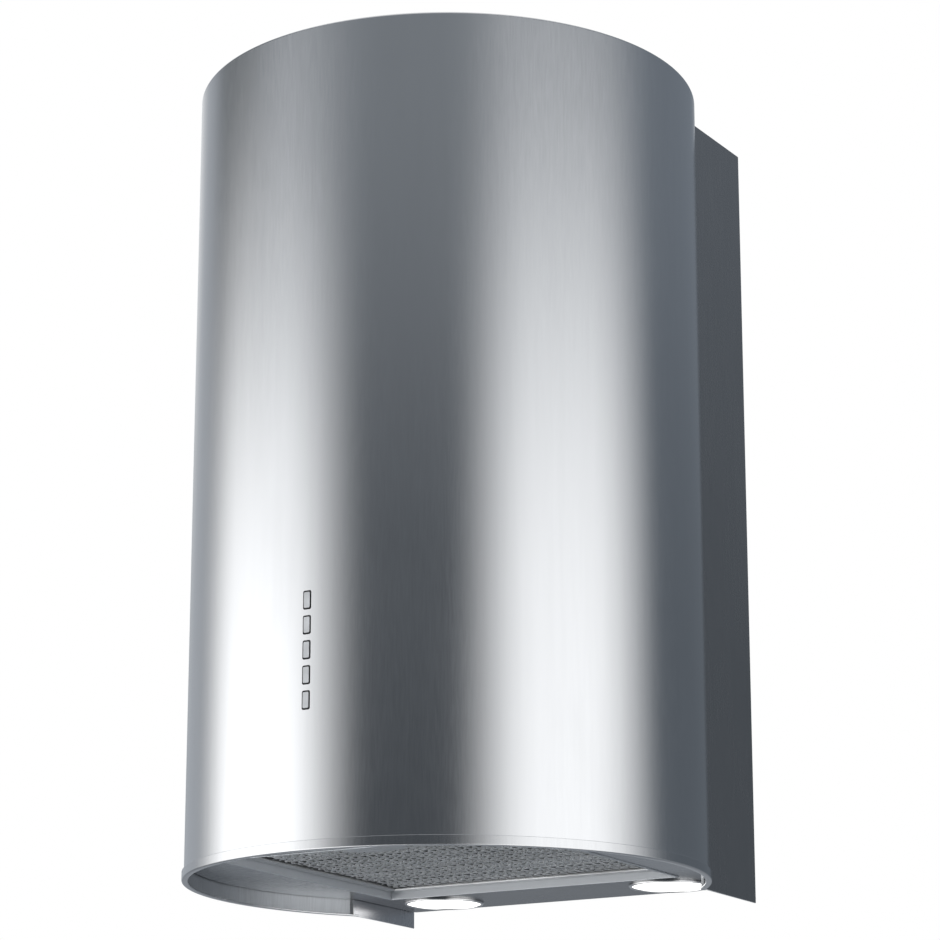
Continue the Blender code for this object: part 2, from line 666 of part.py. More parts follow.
def make_control_board():
    """An open tray behind the guide, and in it the board with one switch behind each button."""
    reach = BUTTON_PITCH * (BUTTON_COUNT - 1) / 2 + HOUSING_MARGIN
    x = HOUSING_WIDTH / 2
    low = Vector((-x, HOUSING_Y, BUTTON_MIDDLE_Z - reach))
    high = Vector((x, HOUSING_Y + HOUSING_DEPTH, BUTTON_MIDDLE_Z + reach))
    housing = block("control_housing", low, high)
    wall = Vector((HOUSING_WALL, HOUSING_WALL, HOUSING_WALL))
    mouth = Vector((low.x + HOUSING_WALL, low.y - HOUSING_WALL, low.z + HOUSING_WALL))
    cut(housing, block("housing hollow", mouth, high - wall))
    as_part(housing, DARK_PLASTIC)
    edge = HOUSING_WALL + GAP
    front = SWITCH_Y + SWITCH_HEIGHT
    board_low = (low.x + edge, front, low.z + edge)
    board = block("control_board", board_low, (high.x - edge, front + BOARD_THICKNESS, high.z - edge))
    for number, height in enumerate(button_places(), 1):
        half = SWITCH_SIZE / 2
        switch_low = (-half, SWITCH_Y, height - half)
        switch_high = (half, front + BOARD_THICKNESS / 2, height + half)
        join(board, block(f"switch {number}", switch_low, switch_high))
    as_part(board, BOARD_GREEN)


# ---------------------------------------------------------------- blower


def scroll_path():
    """The scroll's outer wall in the blower's Y and Z: down in front, round the wheel, and up behind."""
    tongue_y = SCROLL_END - SCROLL_OUTLET
    tongue = acos(tongue_y / SCROLL_START)
    points = [(tongue_y, SCROLL_OUTLET_RISE)]
    for step in range(SCROLL_STEPS + 1):
        share = step / SCROLL_STEPS
        angle = tongue + (2 * pi - tongue) * share
        radius = SCROLL_START + SCROLL_GROWTH * share
        points.append((radius * cos(angle), radius * sin(angle)))
    return points + [(SCROLL_END, SCROLL_OUTLET_RISE)]


def make_scroll():
    place = (-SIDE_PLATE_X + SCROLL_SHEET + GAP, BLOWER_Y, BLOWER_Z)
    width = BLOWER_WIDTH - 2 * (SCROLL_SHEET + GAP)
    path = scroll_path()
    as_part(folded("blower_scroll", path, width, SCROLL_SHEET, location=place, turn=FACING_X), GALVANISED)
    inlet = circle(INLET_RADIUS, SMALL_STEPS)
    for name, x in (("left", -SIDE_PLATE_X), ("right", SIDE_PLATE_X - SCROLL_SHEET)):
        plate = flat(f"scroll_side_{name}", [path, inlet], SCROLL_SHEET, (x, BLOWER_Y, BLOWER_Z), FACING_X)
        as_part(plate, GALVANISED)


def make_impeller():
    """A double-inlet wheel: a middle disc, a ring at each end, and blades that all three hold."""
    half = WHEEL_DISC / 2
    hub = HUB_LENGTH / 2
    bore = SHAFT_RADIUS + GAP
    profile = [(bore, hub), (HUB_RADIUS, hub), (HUB_RADIUS, half), (WHEEL_RADIUS, half)]
    profile += [(WHEEL_RADIUS, -half), (HUB_RADIUS, -half), (HUB_RADIUS, -hub), (bore, -hub)]
    place = (0, BLOWER_Y, BLOWER_Z)
    wheel = turned("impeller", profile, ROUND_STEPS, place, AXIS_X)
    inner = WHEEL_RADIUS - BLADE_DEPTH
    for name, x in (("left", -WHEEL_HALF), ("right", WHEEL_HALF - WHEEL_RING)):
        ring = [(WHEEL_RADIUS, WHEEL_RING), (WHEEL_RADIUS, 0), (inner, 0), (inner, WHEEL_RING)]
        join(wheel, turned(f"wheel ring {name}", ring, ROUND_STEPS, (x, BLOWER_Y, BLOWER_Z), AXIS_X))
    radius = WHEEL_RADIUS - BLADE_DEPTH / 2
    for number in range(BLADE_COUNT):
        angle = 2 * pi * number / BLADE_COUNT
        join(wheel, make_blade(f"blade {number}", radius, angle))
    as_part(wheel, ALUMINIUM)
    shaft_start = (-hub - GAP, BLOWER_Y, BLOWER_Z)
    length = MOTOR_X + HUB_LENGTH
    as_part(rod("motor_shaft", SHAFT_RADIUS, length, SMALL_STEPS, shaft_start, AXIS_X), CHROME)


def make_blade(name, radius, angle):
    """A plate across the whole wheel, leaning forward from the radius through its middle."""
    end = WHEEL_RING / 2
    size = (2 * (WHEEL_HALF - end), BLADE_CHORD, BLADE_THICKNESS)
    blade = block(name, Vector(size) / -2, Vector(size) / 2)
    blade.location = (0, BLOWER_Y + radius * cos(angle), BLOWER_Z + radius * sin(angle))
    blade.rotation_euler = (angle + BLADE_ANGLE, 0, 0)
    return blade


def make_motor():
    """The motor's blind bore takes the shaft's end; its boss meets the arm across the right inlet."""
    bore = SHAFT_RADIUS + GAP
    depth = HUB_LENGTH / 2 + GAP
    end = SIDE_PLATE_X - MOTOR_X
    profile = [(0, end), (MOTOR_BOSS_RADIUS, end), (MOTOR_BOSS_RADIUS, MOTOR_LENGTH)]
    face = MOTOR_RADIUS - MOTOR_CHAMFER
    profile += [(face, MOTOR_LENGTH), (MOTOR_RADIUS, MOTOR_LENGTH - MOTOR_CHAMFER)]
    profile += [(MOTOR_RADIUS, MOTOR_CHAMFER), (face, 0), (bore, 0), (bore, depth), (0, depth)]
    place = (MOTOR_X, BLOWER_Y, BLOWER_Z)
    as_part(turned("motor_body", profile, ROUND_STEPS, place, AXIS_X, closed=False), GALVANISED)
    reach = INLET_RADIUS + MOTOR_ARM_REACH
    arm = rounded_rectangle(MOTOR_ARM_WIDTH, 2 * reach, MOTOR_ARM_WIDTH / 2 - GAP, 6)
    place = (SIDE_PLATE_X + GAP, BLOWER_Y, BLOWER_Z)
    as_part(flat("motor_bracket", [arm], 2 * SCROLL_SHEET, place, FACING_X), GALVANISED)


def make_braces():
    """Straps from the scroll's sides back to the rear plate, each bent out to a foot."""
    start = BLOWER_Y + SCROLL_START
    end = REAR_PLATE_Y - PLATE - GAP
    face = SIDE_PLATE_X + GAP
    path = [(face, start), (face, end), (face + BRACE_FOOT, end)]
    place = (0, 0, BLOWER_Z - BRACE_WIDTH / 2)
    left = [(-x, y) for x, y in reversed(path)]
    for name, way in (("left", left), ("right", path)):
        brace = folded(f"blower_brace_{name}", way[::-1], BRACE_WIDTH, SCROLL_SHEET, location=place)
        as_part(brace, GALVANISED)
    place = (-face - SCROLL_SHEET - GAP - CAPACITOR_RADIUS, start, BLOWER_Z - CAPACITOR_HEIGHT / 2)
    as_part(rod("motor_capacitor", CAPACITOR_RADIUS, CAPACITOR_HEIGHT, SMALL_STEPS, place), WHITE_PLASTIC)


# ---------------------------------------------------------------- outlet


def make_collar():
    flange = COLLAR_RADIUS + COLLAR_FLANGE
    inner = COLLAR_RADIUS - COLLAR_WALL
    profile = [(COLLAR_RADIUS, COLLAR_HEIGHT), (COLLAR_RADIUS, COLLAR_WALL), (flange, COLLAR_WALL)]
    profile += [(flange, 0), (inner, 0), (inner, COLLAR_HEIGHT)]
    as_part(turned("outlet_collar", profile, ROUND_STEPS, (0, 0, COLLAR_Z)), GALVANISED)


def make_flaps():
    """Two half discs, each with its origin on the pin between them."""
    length = 2 * FLAP_RADIUS
    start = (-FLAP_RADIUS, 0, FLAP_Z)
    as_part(rod("flap_pin", FLAP_PIN_RADIUS, length, SMALL_STEPS, start, AXIS_X), CHROME)
    edge = FLAP_PIN_RADIUS + FLAP_PIN_GAP
    side = acos(sqrt(FLAP_RADIUS**2 - edge**2) / FLAP_RADIUS)
    half_disc = arc(FLAP_RADIUS, side, pi - side, ROUND_STEPS // 2)
    for name, way in (("rear", 0), ("front", pi)):
        flap = flat(f"flap_{name}", [half_disc], FLAP_THICKNESS, (0, 0, FLAP_Z), Euler((0, 0, way)))
        shift_up(flap, -FLAP_THICKNESS / 2)
        as_part(flap, ALUMINIUM)


# ---------------------------------------------------------------- mains connection


def make_terminal_box():
    """An open tray on the rear plate, its lid, and the gland under it."""
    top = TOP_PLATE_Z - TERMINAL_BELOW_TOP_PLATE
    rear = REAR_PLATE_Y - PLATE - GAP
    half = TERMINAL_SIZE.x / 2
    low = Vector((-TERMINAL_OFFSET - half, rear - TERMINAL_SIZE.y, top - TERMINAL_SIZE.z))
    high = Vector((-TERMINAL_OFFSET + half, rear, top))
    box = block("terminal_box", low, high)
    wall = Vector((TERMINAL_WALL, TERMINAL_WALL, TERMINAL_WALL))
    mouth = Vector((low.x + TERMINAL_WALL, low.y - TERMINAL_WALL, low.z + TERMINAL_WALL))
    cut(box, block("terminal hollow", mouth, high - wall))
    middle = (low.y + high.y) / 2
    hole = (-TERMINAL_OFFSET, middle, low.z - TERMINAL_WALL)
    cut(box, rod("gland hole", GLAND_BORE + GAP, 3 * TERMINAL_WALL, SMALL_STEPS, hole))
    as_part(box, DARK_PLASTIC)
    lid_low = (low.x, low.y - GAP - TERMINAL_WALL, low.z)
    lid_high = (high.x, low.y - GAP, high.z)
    as_part(block("terminal_lid", lid_low, lid_high, TERMINAL_LID_ROUNDING), DARK_PLASTIC)
    profile = [(GLAND_RADIUS, 0), (GLAND_RADIUS, -GLAND_LENGTH / 2), (GLAND_NECK_RADIUS, -GLAND_LENGTH)]
    profile += [(GLAND_BORE, -GLAND_LENGTH), (GLAND_BORE, 0)]
    place = (-TERMINAL_OFFSET, middle, low.z - GAP)
    as_part(turned("cable_gland", profile, SMALL_STEPS, place), DARK_PLASTIC)


def shade_all():
    for obj in PARTS.objects:
        if obj.type == "MESH" and obj.data.polygons:
            smooth(obj.data)


make_front_shell()
make_bottom_rim()
make_side_panels()
make_rear_plate()
make_wall_bracket()
make_top_plate()
make_underside_panel()
make_filter_surround()
make_filter()
make_filter_latch()
make_lamps()
make_buttons()
make_button_guide()
make_control_board()
make_scroll()
make_impeller()
make_motor()
make_braces()
make_collar()
make_flaps()
make_terminal_box()
shade_all()
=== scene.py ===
"""Looks of the wall range hood: materials, light and finer pieces. Metres, +Z up, front -Y."""

import json
from math import acos, cos, pi, radians, sin

import bmesh
import bpy
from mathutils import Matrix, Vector


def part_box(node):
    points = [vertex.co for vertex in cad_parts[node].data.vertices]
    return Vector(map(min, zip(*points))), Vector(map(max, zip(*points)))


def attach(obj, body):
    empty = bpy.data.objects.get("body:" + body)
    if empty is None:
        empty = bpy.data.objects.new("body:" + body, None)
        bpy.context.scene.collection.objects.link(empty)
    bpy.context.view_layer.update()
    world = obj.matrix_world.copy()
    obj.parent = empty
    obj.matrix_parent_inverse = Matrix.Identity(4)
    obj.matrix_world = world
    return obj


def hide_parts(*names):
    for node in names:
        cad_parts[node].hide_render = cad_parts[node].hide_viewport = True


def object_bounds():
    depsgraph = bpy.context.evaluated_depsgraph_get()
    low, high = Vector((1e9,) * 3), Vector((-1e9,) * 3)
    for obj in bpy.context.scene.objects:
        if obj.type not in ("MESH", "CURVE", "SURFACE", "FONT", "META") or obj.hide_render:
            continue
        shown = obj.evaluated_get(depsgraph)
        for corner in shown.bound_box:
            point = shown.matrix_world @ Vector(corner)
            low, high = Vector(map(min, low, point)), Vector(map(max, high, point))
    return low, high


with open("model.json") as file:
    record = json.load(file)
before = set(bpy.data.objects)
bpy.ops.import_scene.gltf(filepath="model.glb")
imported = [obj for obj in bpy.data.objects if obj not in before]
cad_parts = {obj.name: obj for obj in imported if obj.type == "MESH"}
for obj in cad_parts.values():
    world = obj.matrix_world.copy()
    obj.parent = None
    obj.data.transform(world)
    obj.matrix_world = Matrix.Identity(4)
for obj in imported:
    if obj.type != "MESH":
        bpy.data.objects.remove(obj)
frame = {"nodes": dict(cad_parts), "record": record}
CAD_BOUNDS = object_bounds()
NODES = frame["nodes"]

# Camera, at the photograph's angle
CAMERA_YAW = radians(30.154)
CAMERA_PITCH = radians(15.413)
CAMERA_DISTANCE = 2.4483
CAMERA_LENS = 121.7
SENSOR_WIDTH = 36.0
AIM_RIGHT = 0.0144
AIM_UP = 0.0126

# Fineness
SHELL_COLUMNS = 420
RIM_COLUMNS = 240
RING_STEPS = 96
COLLAR_STEPS = 128
PIN_HOLE_STEPS = 32
CREASE = radians(35)
ROUNDED_CREASE = radians(50)

# Shell and its button windows
SHEET = 0.001
HEM_ROUNDING = 0.0016
HEM_WIDTH = 0.012
WINDOW_WIDTH = 0.0068
WINDOW_HEIGHT = 0.0138
WINDOW_CORNER = 0.0014
WINDOW_CUT = 0.01

# Rolled rim
RIM_INSET = 0.0003
RIM_SEAT = 0.0003
RIM_TOP_ROUNDING = 0.0002
RIM_FOOT_ROUNDING = 0.0011
RIM_SUPPORT = 0.0001
FLANGE_WIDTH = 0.0030
FLANGE_THICKNESS = 0.0012
FLANGE_ROUNDING = 0.0006

# Seam strips
SEAM_GAP = 0.0001
SEAM_SHELL_GAP = 0.00005
SEAM_END_GAP = 0.0002
SEAM_FOLD = 0.0004
SEAM_DEPTH = 0.0022
SEAM_SHEET = 0.0003
SEAM_LEG = 0.0002
SEAM_EDGE = 0.00005

# Lamps
LAMP_SHOULDER = 0.0010
LAMP_ROUNDING = 0.0009
LAMP_ROUNDING_INSET = 0.0012
LAMP_RECESS_INSET = 0.0024
LAMP_TUBE_INSET = 0.0035
LAMP_LIP = 0.0001
LAMP_LIP_SLOPE = 0.0004
LAMP_GAP = 0.0001
GLASS_GAP = 0.0002
GLASS_RISE = 0.0006
GLASS_STEPS = 10
GLASS_HEART = 0.00001

# Filter
STRAND_WIDTH = 0.0012
STRAND_THICKNESS = 0.0004
STRAND_TILT = 0.0003
LAYER_PITCH = 0.0038
LAYER_PERIOD = 0.0076
LAYER_DEPTH = 0.0014
BACK_PITCH = 0.0037
BACK_PERIOD = 0.0062
BACK_DEPTH = 0.0026
CRIMP_HEIGHT = 0.0009
CRIMP_LENGTH = 0.0092
BAFFLE_WAVES = 80
BAFFLE_DEPTH = 0.0037
BAFFLE_SWING = 0.0003
BAFFLE_THICKNESS = 0.0003
BAFFLE_CREASE = radians(80)
CHANNEL_ROUNDING = 0.0010
CHANNEL_BAR = 0.009
CHANNEL_LIP = 0.0012
CHANNEL_CHAMFER = 0.0003
MITRE_GAP = 0.00015
PIN_CLEARANCE = 0.0002

# Surround of the filter opening
SURROUND_FLANGE = 0.010
SURROUND_WALL = 0.001
SURROUND_DROP = 0.0008
SURROUND_HEM = 0.0019
SURROUND_GAP = 0.0001

# Outlet collar
COLLAR_FLANGE = 0.013
COLLAR_WALL = 0.0012
COLLAR_CHAMFER = 0.0003
COLLAR_ROOT = 0.0018
BEAD_FROM_TOP = 0.014
BEAD_HALF = 0.003
BEAD_HEIGHT = 0.0016

# Floor
FLOOR_RADIUS = 40.0
FLOOR_LEVEL = -3.4
FLOOR_GLOW = 0.40

# Tints of metal, as factors of a grey
COOL = (0.955, 0.985, 1.02)
NEUTRAL = (0.985, 0.995, 1.01)
WARM = (1.0, 0.99, 0.985)
ZINC_TINT = (0.95, 0.99, 1.03)
ALUMINIUM_TINT = (0.985, 0.995, 1.0)
WHITE = (1.0, 1.0, 1.0, 1.0)


# ---------------------------------------------------------------- the frame's measures


def corners(node):
    """The low and high corners of a CAD node's box."""
    low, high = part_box(node)
    return Vector(low), Vector(high)


def middle(node):
    """The middle of a CAD node's box."""
    low, high = corners(node)
    return (low + high) / 2


SHELL_LOW, SHELL_HIGH = corners("front_shell")
SHELL_RADIUS = (SHELL_HIGH.x - SHELL_LOW.x) / 2
AXIS = Vector((0, SHELL_LOW.y + SHELL_RADIUS))
SHELL_SWEEP = acos(-(SHELL_HIGH.y - AXIS.y) / SHELL_RADIUS)
BUTTONS = [f"button_{number}" for number in range(1, 6)]
# The depth behind the buttons' front faces where their painted gap shade starts.
PAINTED_GAP_SHADE_DEPTH = corners(BUTTONS[0])[0].y + 0.0002


# ---------------------------------------------------------------- shader nodes


def add(tree, kind, inputs=None, **settings):
    """A new shader node. inputs holds values and sockets by input name or number."""
    made = tree.nodes.new("ShaderNode" + kind)
    for name, value in settings.items():
        setattr(made, name, value)
    for key, value in (inputs or {}).items():
        if isinstance(value, bpy.types.NodeSocket):
            tree.links.new(value, made.inputs[key])
        else:
            made.inputs[key].default_value = value
    return made


def math(tree, operation, *values):
    """The output of a Math node."""
    return add(tree, "Math", dict(enumerate(values)), operation=operation).outputs[0]


def ramp(tree, value, low, high, start=0.0, end=1.0, smooth=True):
    """start where value is under low, end where it is over high."""
    kind = "SMOOTHSTEP" if smooth else "LINEAR"
    inputs = {"Value": value, "From Min": low, "From Max": high, "To Min": start, "To Max": end}
    return add(tree, "MapRange", inputs, interpolation_type=kind).outputs[0]


def fade(tree, value, low, high):
    """1 where value is under low, 0 where it is over high."""
    return ramp(tree, value, low, high, 1.0, 0.0)


def spread(tree, noise, start=0.0, end=1.0):
    """From start to end over the range that a noise mostly stays in."""
    return ramp(tree, noise, 0.3, 0.7, start, end)


def mix_colour(tree, factor, first, second, blend="MIX"):
    """The colour output of a Mix node."""
    made = add(tree, "Mix", data_type="RGBA", blend_type=blend)
    for socket, value in ((made.inputs[0], factor), (made.inputs[6], first), (made.inputs[7], second)):
        if isinstance(value, bpy.types.NodeSocket):
            tree.links.new(value, socket)
        else:
            socket.default_value = value
    return made.outputs[2]


def grey(level, tint=(1.0, 1.0, 1.0)):
    """A tinted grey as red, green, blue and alpha."""
    return (level * tint[0], level * tint[1], level * tint[2], 1.0)


def coordinate(tree, output, axis):
    """One axis (0, 1 or 2) of an output of the Texture Coordinate node."""
    return add(tree, "SeparateXYZ", {0: add(tree, "TexCoord").outputs[output]}).outputs[axis]


def stretched_noise(tree, scale, detail):
    """Noise in object space, with its own scale along x, y and z."""
    place = add(tree, "TexCoord").outputs["Object"]
    stretched = add(tree, "Mapping", {"Vector": place, "Scale": scale}).outputs[0]
    inputs = {"Vector": stretched, "Scale": 1.0, "Detail": detail, "Roughness": 0.55}
    return add(tree, "TexNoise", inputs).outputs[0]


def even_noise(tree, scale, detail):
    """Noise in object space, the same along x, y and z."""
    return stretched_noise(tree, (scale, scale, scale), detail)


def new_material(name):
    """A material with a Principled shader: the material, its tree and the shader."""
    made = bpy.data.materials.new(name)
    made.use_nodes = True
    tree = made.node_tree
    tree.nodes.clear()
    shader = add(tree, "BsdfPrincipled")
    output = add(tree, "OutputMaterial")
    tree.links.new(shader.outputs[0], output.inputs["Surface"])
    return made, tree, shader


def feed(tree, shader, name, value):
    """Sets one input of the shader, by a link or by a value."""
    if isinstance(value, bpy.types.NodeSocket):
        tree.links.new(value, shader.inputs[name])
    else:
        shader.inputs[name].default_value = value


def feed_metal(tree, shader, colour, roughness):
    """Makes the shader a metal of this colour and roughness."""
    feed(tree, shader, "Base Color", colour)
    feed(tree, shader, "Metallic", 1.0)
    feed(tree, shader, "Roughness", roughness)


def bump(tree, shader, height, strength, distance):
    """Lets a height texture disturb the shader's normal."""
    made = add(tree, "Bump", {"Height": height, "Strength": strength, "Distance": distance})
    tree.links.new(made.outputs[0], shader.inputs["Normal"])


# ---------------------------------------------------------------- materials


def brushed_steel(name, level, tint, roughness, along, contrast=1.0, grain_bump=0.02):
    """Stainless sheet with a fine satin grain along one axis, faint clouding and a few soft wipe marks."""
    made, tree, shader = new_material(name)
    fine, broad = [1500.0] * 3, [160.0] * 3
    fine[along], broad[along] = 55.0, 7.0
    grain_shade, drift_shade, cloud_shade = 0.010 * contrast, 0.004 * contrast, 0.008
    swing, mark_roughness = 0.015, 0.025
    grain = stretched_noise(tree, fine, 2.0)
    drift = stretched_noise(tree, broad, 2.0)
    cloud = stretched_noise(tree, (6.0, 6.0, 4.0), 3.0)
    mark = ramp(tree, stretched_noise(tree, (14.0, 14.0, 5.0), 4.0), 0.56, 0.72)
    stripes = (spread(tree, grain, -grain_shade, grain_shade), spread(tree, drift, -drift_shade, drift_shade))
    shade = math(tree, "ADD", math(tree, "ADD", *stripes), spread(tree, cloud, -cloud_shade, cloud_shade))
    # Mixed from level - 0.5 to level + 0.5, a factor of 0.5 + shade gives level + shade.
    factor = math(tree, "ADD", shade, 0.5)
    colour = mix_colour(tree, factor, grey(level - 0.5, tint), grey(level + 0.5, tint))
    rough = spread(tree, grain, roughness - swing, roughness + swing)
    rough = math(tree, "ADD", rough, spread(tree, cloud, -swing, swing))
    rough = math(tree, "ADD", rough, math(tree, "MULTIPLY", mark, mark_roughness))
    feed_metal(tree, shader, colour, rough)
    bump(tree, shader, grain, grain_bump, 0.0002)
    return made


def scale_colour(material, gain):
    """Multiplies the material's base colour by a colour socket of its own tree."""
    tree = material.node_tree
    shader = tree.nodes["Principled BSDF"]
    base = shader.inputs["Base Color"].links[0].from_socket
    feed(tree, shader, "Base Color", mix_colour(tree, 1.0, base, gain, "MULTIPLY"))


def painted_light_side_steel():
    """The side panels' sheet with painted light and shade: a darkened steel outside as painted shade, painted
    light on its inner face and a painted highlight along its lower edge.
    """
    # Painted shade: the outside of the side panels is a much darker copy of the shell's steel.
    made = brushed_steel("brushed_stainless_side_painted_light", 0.245, WARM, 0.26, along=2, contrast=1.2)
    tree = made.node_tree
    # Painted light: gains that brighten the inner faces and put a painted highlight on the lower edge.
    painted_inner_light_gain, painted_edge_highlight_gain = (1.9, 1.92, 1.98, 1.0), (3.7, 3.75, 3.8, 1.0)
    side = math(tree, "SIGN", coordinate(tree, "Object", 0))
    # Mask of the inner faces, which get painted light.
    inner = fade(tree, math(tree, "MULTIPLY", side, coordinate(tree, "Normal", 0)), -0.9, -0.5)
    # Mask of the downward lower edge, which gets a painted highlight.
    edge = fade(tree, coordinate(tree, "Normal", 2), -0.9, -0.3)
    scale_colour(made, mix_colour(tree, edge, mix_colour(tree, inner, WHITE, painted_inner_light_gain), painted_edge_highlight_gain))
    return made


def panel_steel():
    """The underside panel's sheet, with painted shade along the strip that holds the lamps."""
    made = brushed_steel("brushed_stainless_panel_painted_shade", 0.41, COOL, 0.26, along=0, contrast=1.5)
    tree = made.node_tree
    # Painted shade: the colour is darkened behind the filter opening, along the lamp strip.
    painted_shade_gain = (0.45, 0.455, 0.46, 1.0)
    opening = corners("filter_frame")[1].y
    strip = ramp(tree, coordinate(tree, "Object", 1), opening - 0.03, opening + 0.015)
    scale_colour(made, mix_colour(tree, strip, WHITE, painted_shade_gain))
    return made


def galvanised(name):
    """Zinc-coated sheet: large soft spangles, a few dull stains and rolled texture."""
    made, tree, shader = new_material(name)
    level, roughness, swing = 0.56, 0.42, 0.1
    place = add(tree, "TexCoord").outputs["Object"]
    wander = add(tree, "TexNoise", {"Vector": place, "Scale": 60.0}).outputs[1]
    bent = mix_colour(tree, 0.03, place, wander)
    flakes = add(tree, "TexVoronoi", {"Vector": bent, "Scale": 95.0}, distance="EUCLIDEAN")
    spangle = add(tree, "SeparateColor", {"Color": flakes.outputs["Color"]}).outputs[0]
    stain = ramp(tree, even_noise(tree, 9.0, 5.0), 0.5, 0.75)
    colour = mix_colour(tree, spangle, grey(level * 0.84, ZINC_TINT), grey(level * 1.12, ZINC_TINT))
    colour = mix_colour(tree, math(tree, "MULTIPLY", stain, 0.5), colour, grey(level * 0.72))
    rough = ramp(tree, spangle, 0.0, 1.0, roughness - swing, roughness + swing, False)
    rough = math(tree, "ADD", rough, math(tree, "MULTIPLY", stain, 0.12))
    feed_metal(tree, shader, colour, rough)
    bump(tree, shader, even_noise(tree, 420.0, 4.0), 0.12, 0.0003)
    return made


def aluminium(name, level, roughness):
    """Bare rolled aluminium with fine scratches and dull patches."""
    made, tree, shader = new_material(name)
    swing = 0.08
    scratch = stretched_noise(tree, (40.0, 900.0, 900.0), 3.0)
    dull = even_noise(tree, 25.0, 4.0)
    dark, light = grey(level * 0.86, ALUMINIUM_TINT), grey(level * 1.05, ALUMINIUM_TINT)
    colour = mix_colour(tree, spread(tree, dull), dark, light)
    rough = spread(tree, scratch, roughness - swing, roughness + swing)
    rough = math(tree, "ADD", rough, spread(tree, dull, 0.05, -0.04))
    feed_metal(tree, shader, colour, rough)
    bump(tree, shader, scratch, 0.12, 0.0002)
    return made


def polished(name):
    """Bright steel with hairline swirls."""
    made, tree, shader = new_material(name)
    level, roughness = 0.66, 0.14
    swirl = even_noise(tree, 700.0, 5.0)
    haze = even_noise(tree, 60.0, 3.0)
    colour = mix_colour(tree, spread(tree, haze), grey(level * 0.9), grey(level * 1.06))
    rough = spread(tree, swirl, roughness - 0.04, roughness + 0.06)
    rough = math(tree, "ADD", rough, ramp(tree, haze, 0.4, 0.8, 0.0, 0.06))
    feed_metal(tree, shader, colour, rough)
    bump(tree, shader, swirl, 0.05, 0.0001)
    return made


def plastic(name, colour, roughness, texture, scale=900.0, face=None):
    """Moulded plastic with a spark-eroded texture and uneven colour; if face is given, painted shade (near
    black) behind y = face darkens the gaps round the caps.
    """
    made, tree, shader = new_material(name)
    swing = 0.07
    pores = even_noise(tree, scale, 3.0)
    flow = stretched_noise(tree, (35.0, 35.0, 70.0), 3.0)
    darker = tuple(0.86 * c for c in colour) + (1.0,)
    lighter = tuple(min(1.0, 1.08 * c) for c in colour) + (1.0,)
    shade = mix_colour(tree, spread(tree, flow), darker, lighter)
    if face is not None:
        # Painted shade: everything deeper than face is coloured near black, standing in for shade in the gaps
        # round the buttons.
        behind = ramp(tree, coordinate(tree, "Object", 1), face, face + 0.0002)
        shade = mix_colour(tree, behind, shade, (0.012, 0.012, 0.013, 1.0))
    rough = spread(tree, pores, roughness - swing, roughness + swing)
    feed(tree, shader, "Base Color", shade)
    feed(tree, shader, "Roughness", math(tree, "ADD", rough, spread(tree, flow, 0.04, -0.04)))
    bump(tree, shader, pores, texture, 0.0003)
    return made


def board(name):
    """Green solder mask with lighter copper tracks under it."""
    made, tree, shader = new_material(name)
    place = add(tree, "TexCoord").outputs["Object"]
    stretched = add(tree, "Mapping", {"Vector": place, "Scale": (260.0, 260.0, 90.0)}).outputs[0]
    cells = add(tree, "TexVoronoi", {"Vector": stretched, "Scale": 1.0}, feature="DISTANCE_TO_EDGE")
    track = fade(tree, cells.outputs["Distance"], 0.05, 0.08)
    mask = spread(tree, even_noise(tree, 50.0, 3.0))
    base = mix_colour(tree, mask, (0.008, 0.075, 0.028, 1.0), (0.014, 0.115, 0.045, 1.0))
    feed(tree, shader, "Base Color", mix_colour(tree, track, base, (0.05, 0.22, 0.07, 1.0)))
    feed(tree, shader, "Roughness", ramp(tree, track, 0.0, 1.0, 0.42, 0.28))
    bump(tree, shader, track, 0.3, 0.0002)
    return made


def lit_glass(name):
    """Frosted lamp glass, lit from behind, with a pebbled surface."""
    made, tree, shader = new_material(name)
    frost = even_noise(tree, 900.0, 3.0)
    pebble = even_noise(tree, 240.0, 2.0)
    feed(tree, shader, "Base Color", mix_colour(tree, spread(tree, frost), grey(0.86), grey(0.95)))
    feed(tree, shader, "Roughness", spread(tree, pebble, 0.24, 0.40))
    warm, cool = (1.0, 0.975, 0.94, 1.0), (1.0, 0.995, 0.98, 1.0)
    feed(tree, shader, "Emission Color", mix_colour(tree, ramp(tree, pebble, 0.35, 0.65), warm, cool))
    feed(tree, shader, "Emission Strength", 1.35)
    bump(tree, shader, pebble, 0.25, 0.0004)
    return made


# ---------------------------------------------------------------- the finishes


STEEL = brushed_steel("brushed_stainless_shell", 0.60, NEUTRAL, 0.20, along=2)
RIM_STEEL = brushed_steel("brushed_stainless_rim", 0.58, NEUTRAL, 0.20, along=2, contrast=1.5)
SIDE_STEEL_PAINTED_LIGHT = painted_light_side_steel()
SURROUND_STEEL = brushed_steel("brushed_stainless_opening", 0.68, COOL, 0.50, along=0, contrast=2.0)
INNER_STEEL = brushed_steel("brushed_stainless_inside", 0.56, COOL, 0.48, 2, contrast=4.0, grain_bump=0.2)
PANEL_STEEL = panel_steel()
ZINC = galvanised("galvanised_sheet")
ALUMINIUM = aluminium("aluminium_sheet", 0.62, 0.36)
MESH_ALUMINIUM = aluminium("aluminium_mesh", 0.94, 0.40)
BAFFLE_ALUMINIUM = aluminium("aluminium_baffle", 0.36, 0.55)
POLISHED = polished("polished_steel_fittings")
BUTTON_PLASTIC = plastic("button_plastic_painted_gap_shade", (0.70, 0.71, 0.72), 0.30, 0.06, 2400.0, PAINTED_GAP_SHADE_DEPTH)
DARK_PLASTIC = plastic("dark_plastic_moulded", (0.022, 0.023, 0.025), 0.45, 0.25)
WHITE_PLASTIC = plastic("white_plastic_moulded", (0.72, 0.71, 0.68), 0.38, 0.12)
CIRCUIT_BOARD = board("circuit_board_mask")
LAMP_GLASS = lit_glass("lamp_glass_frosted")
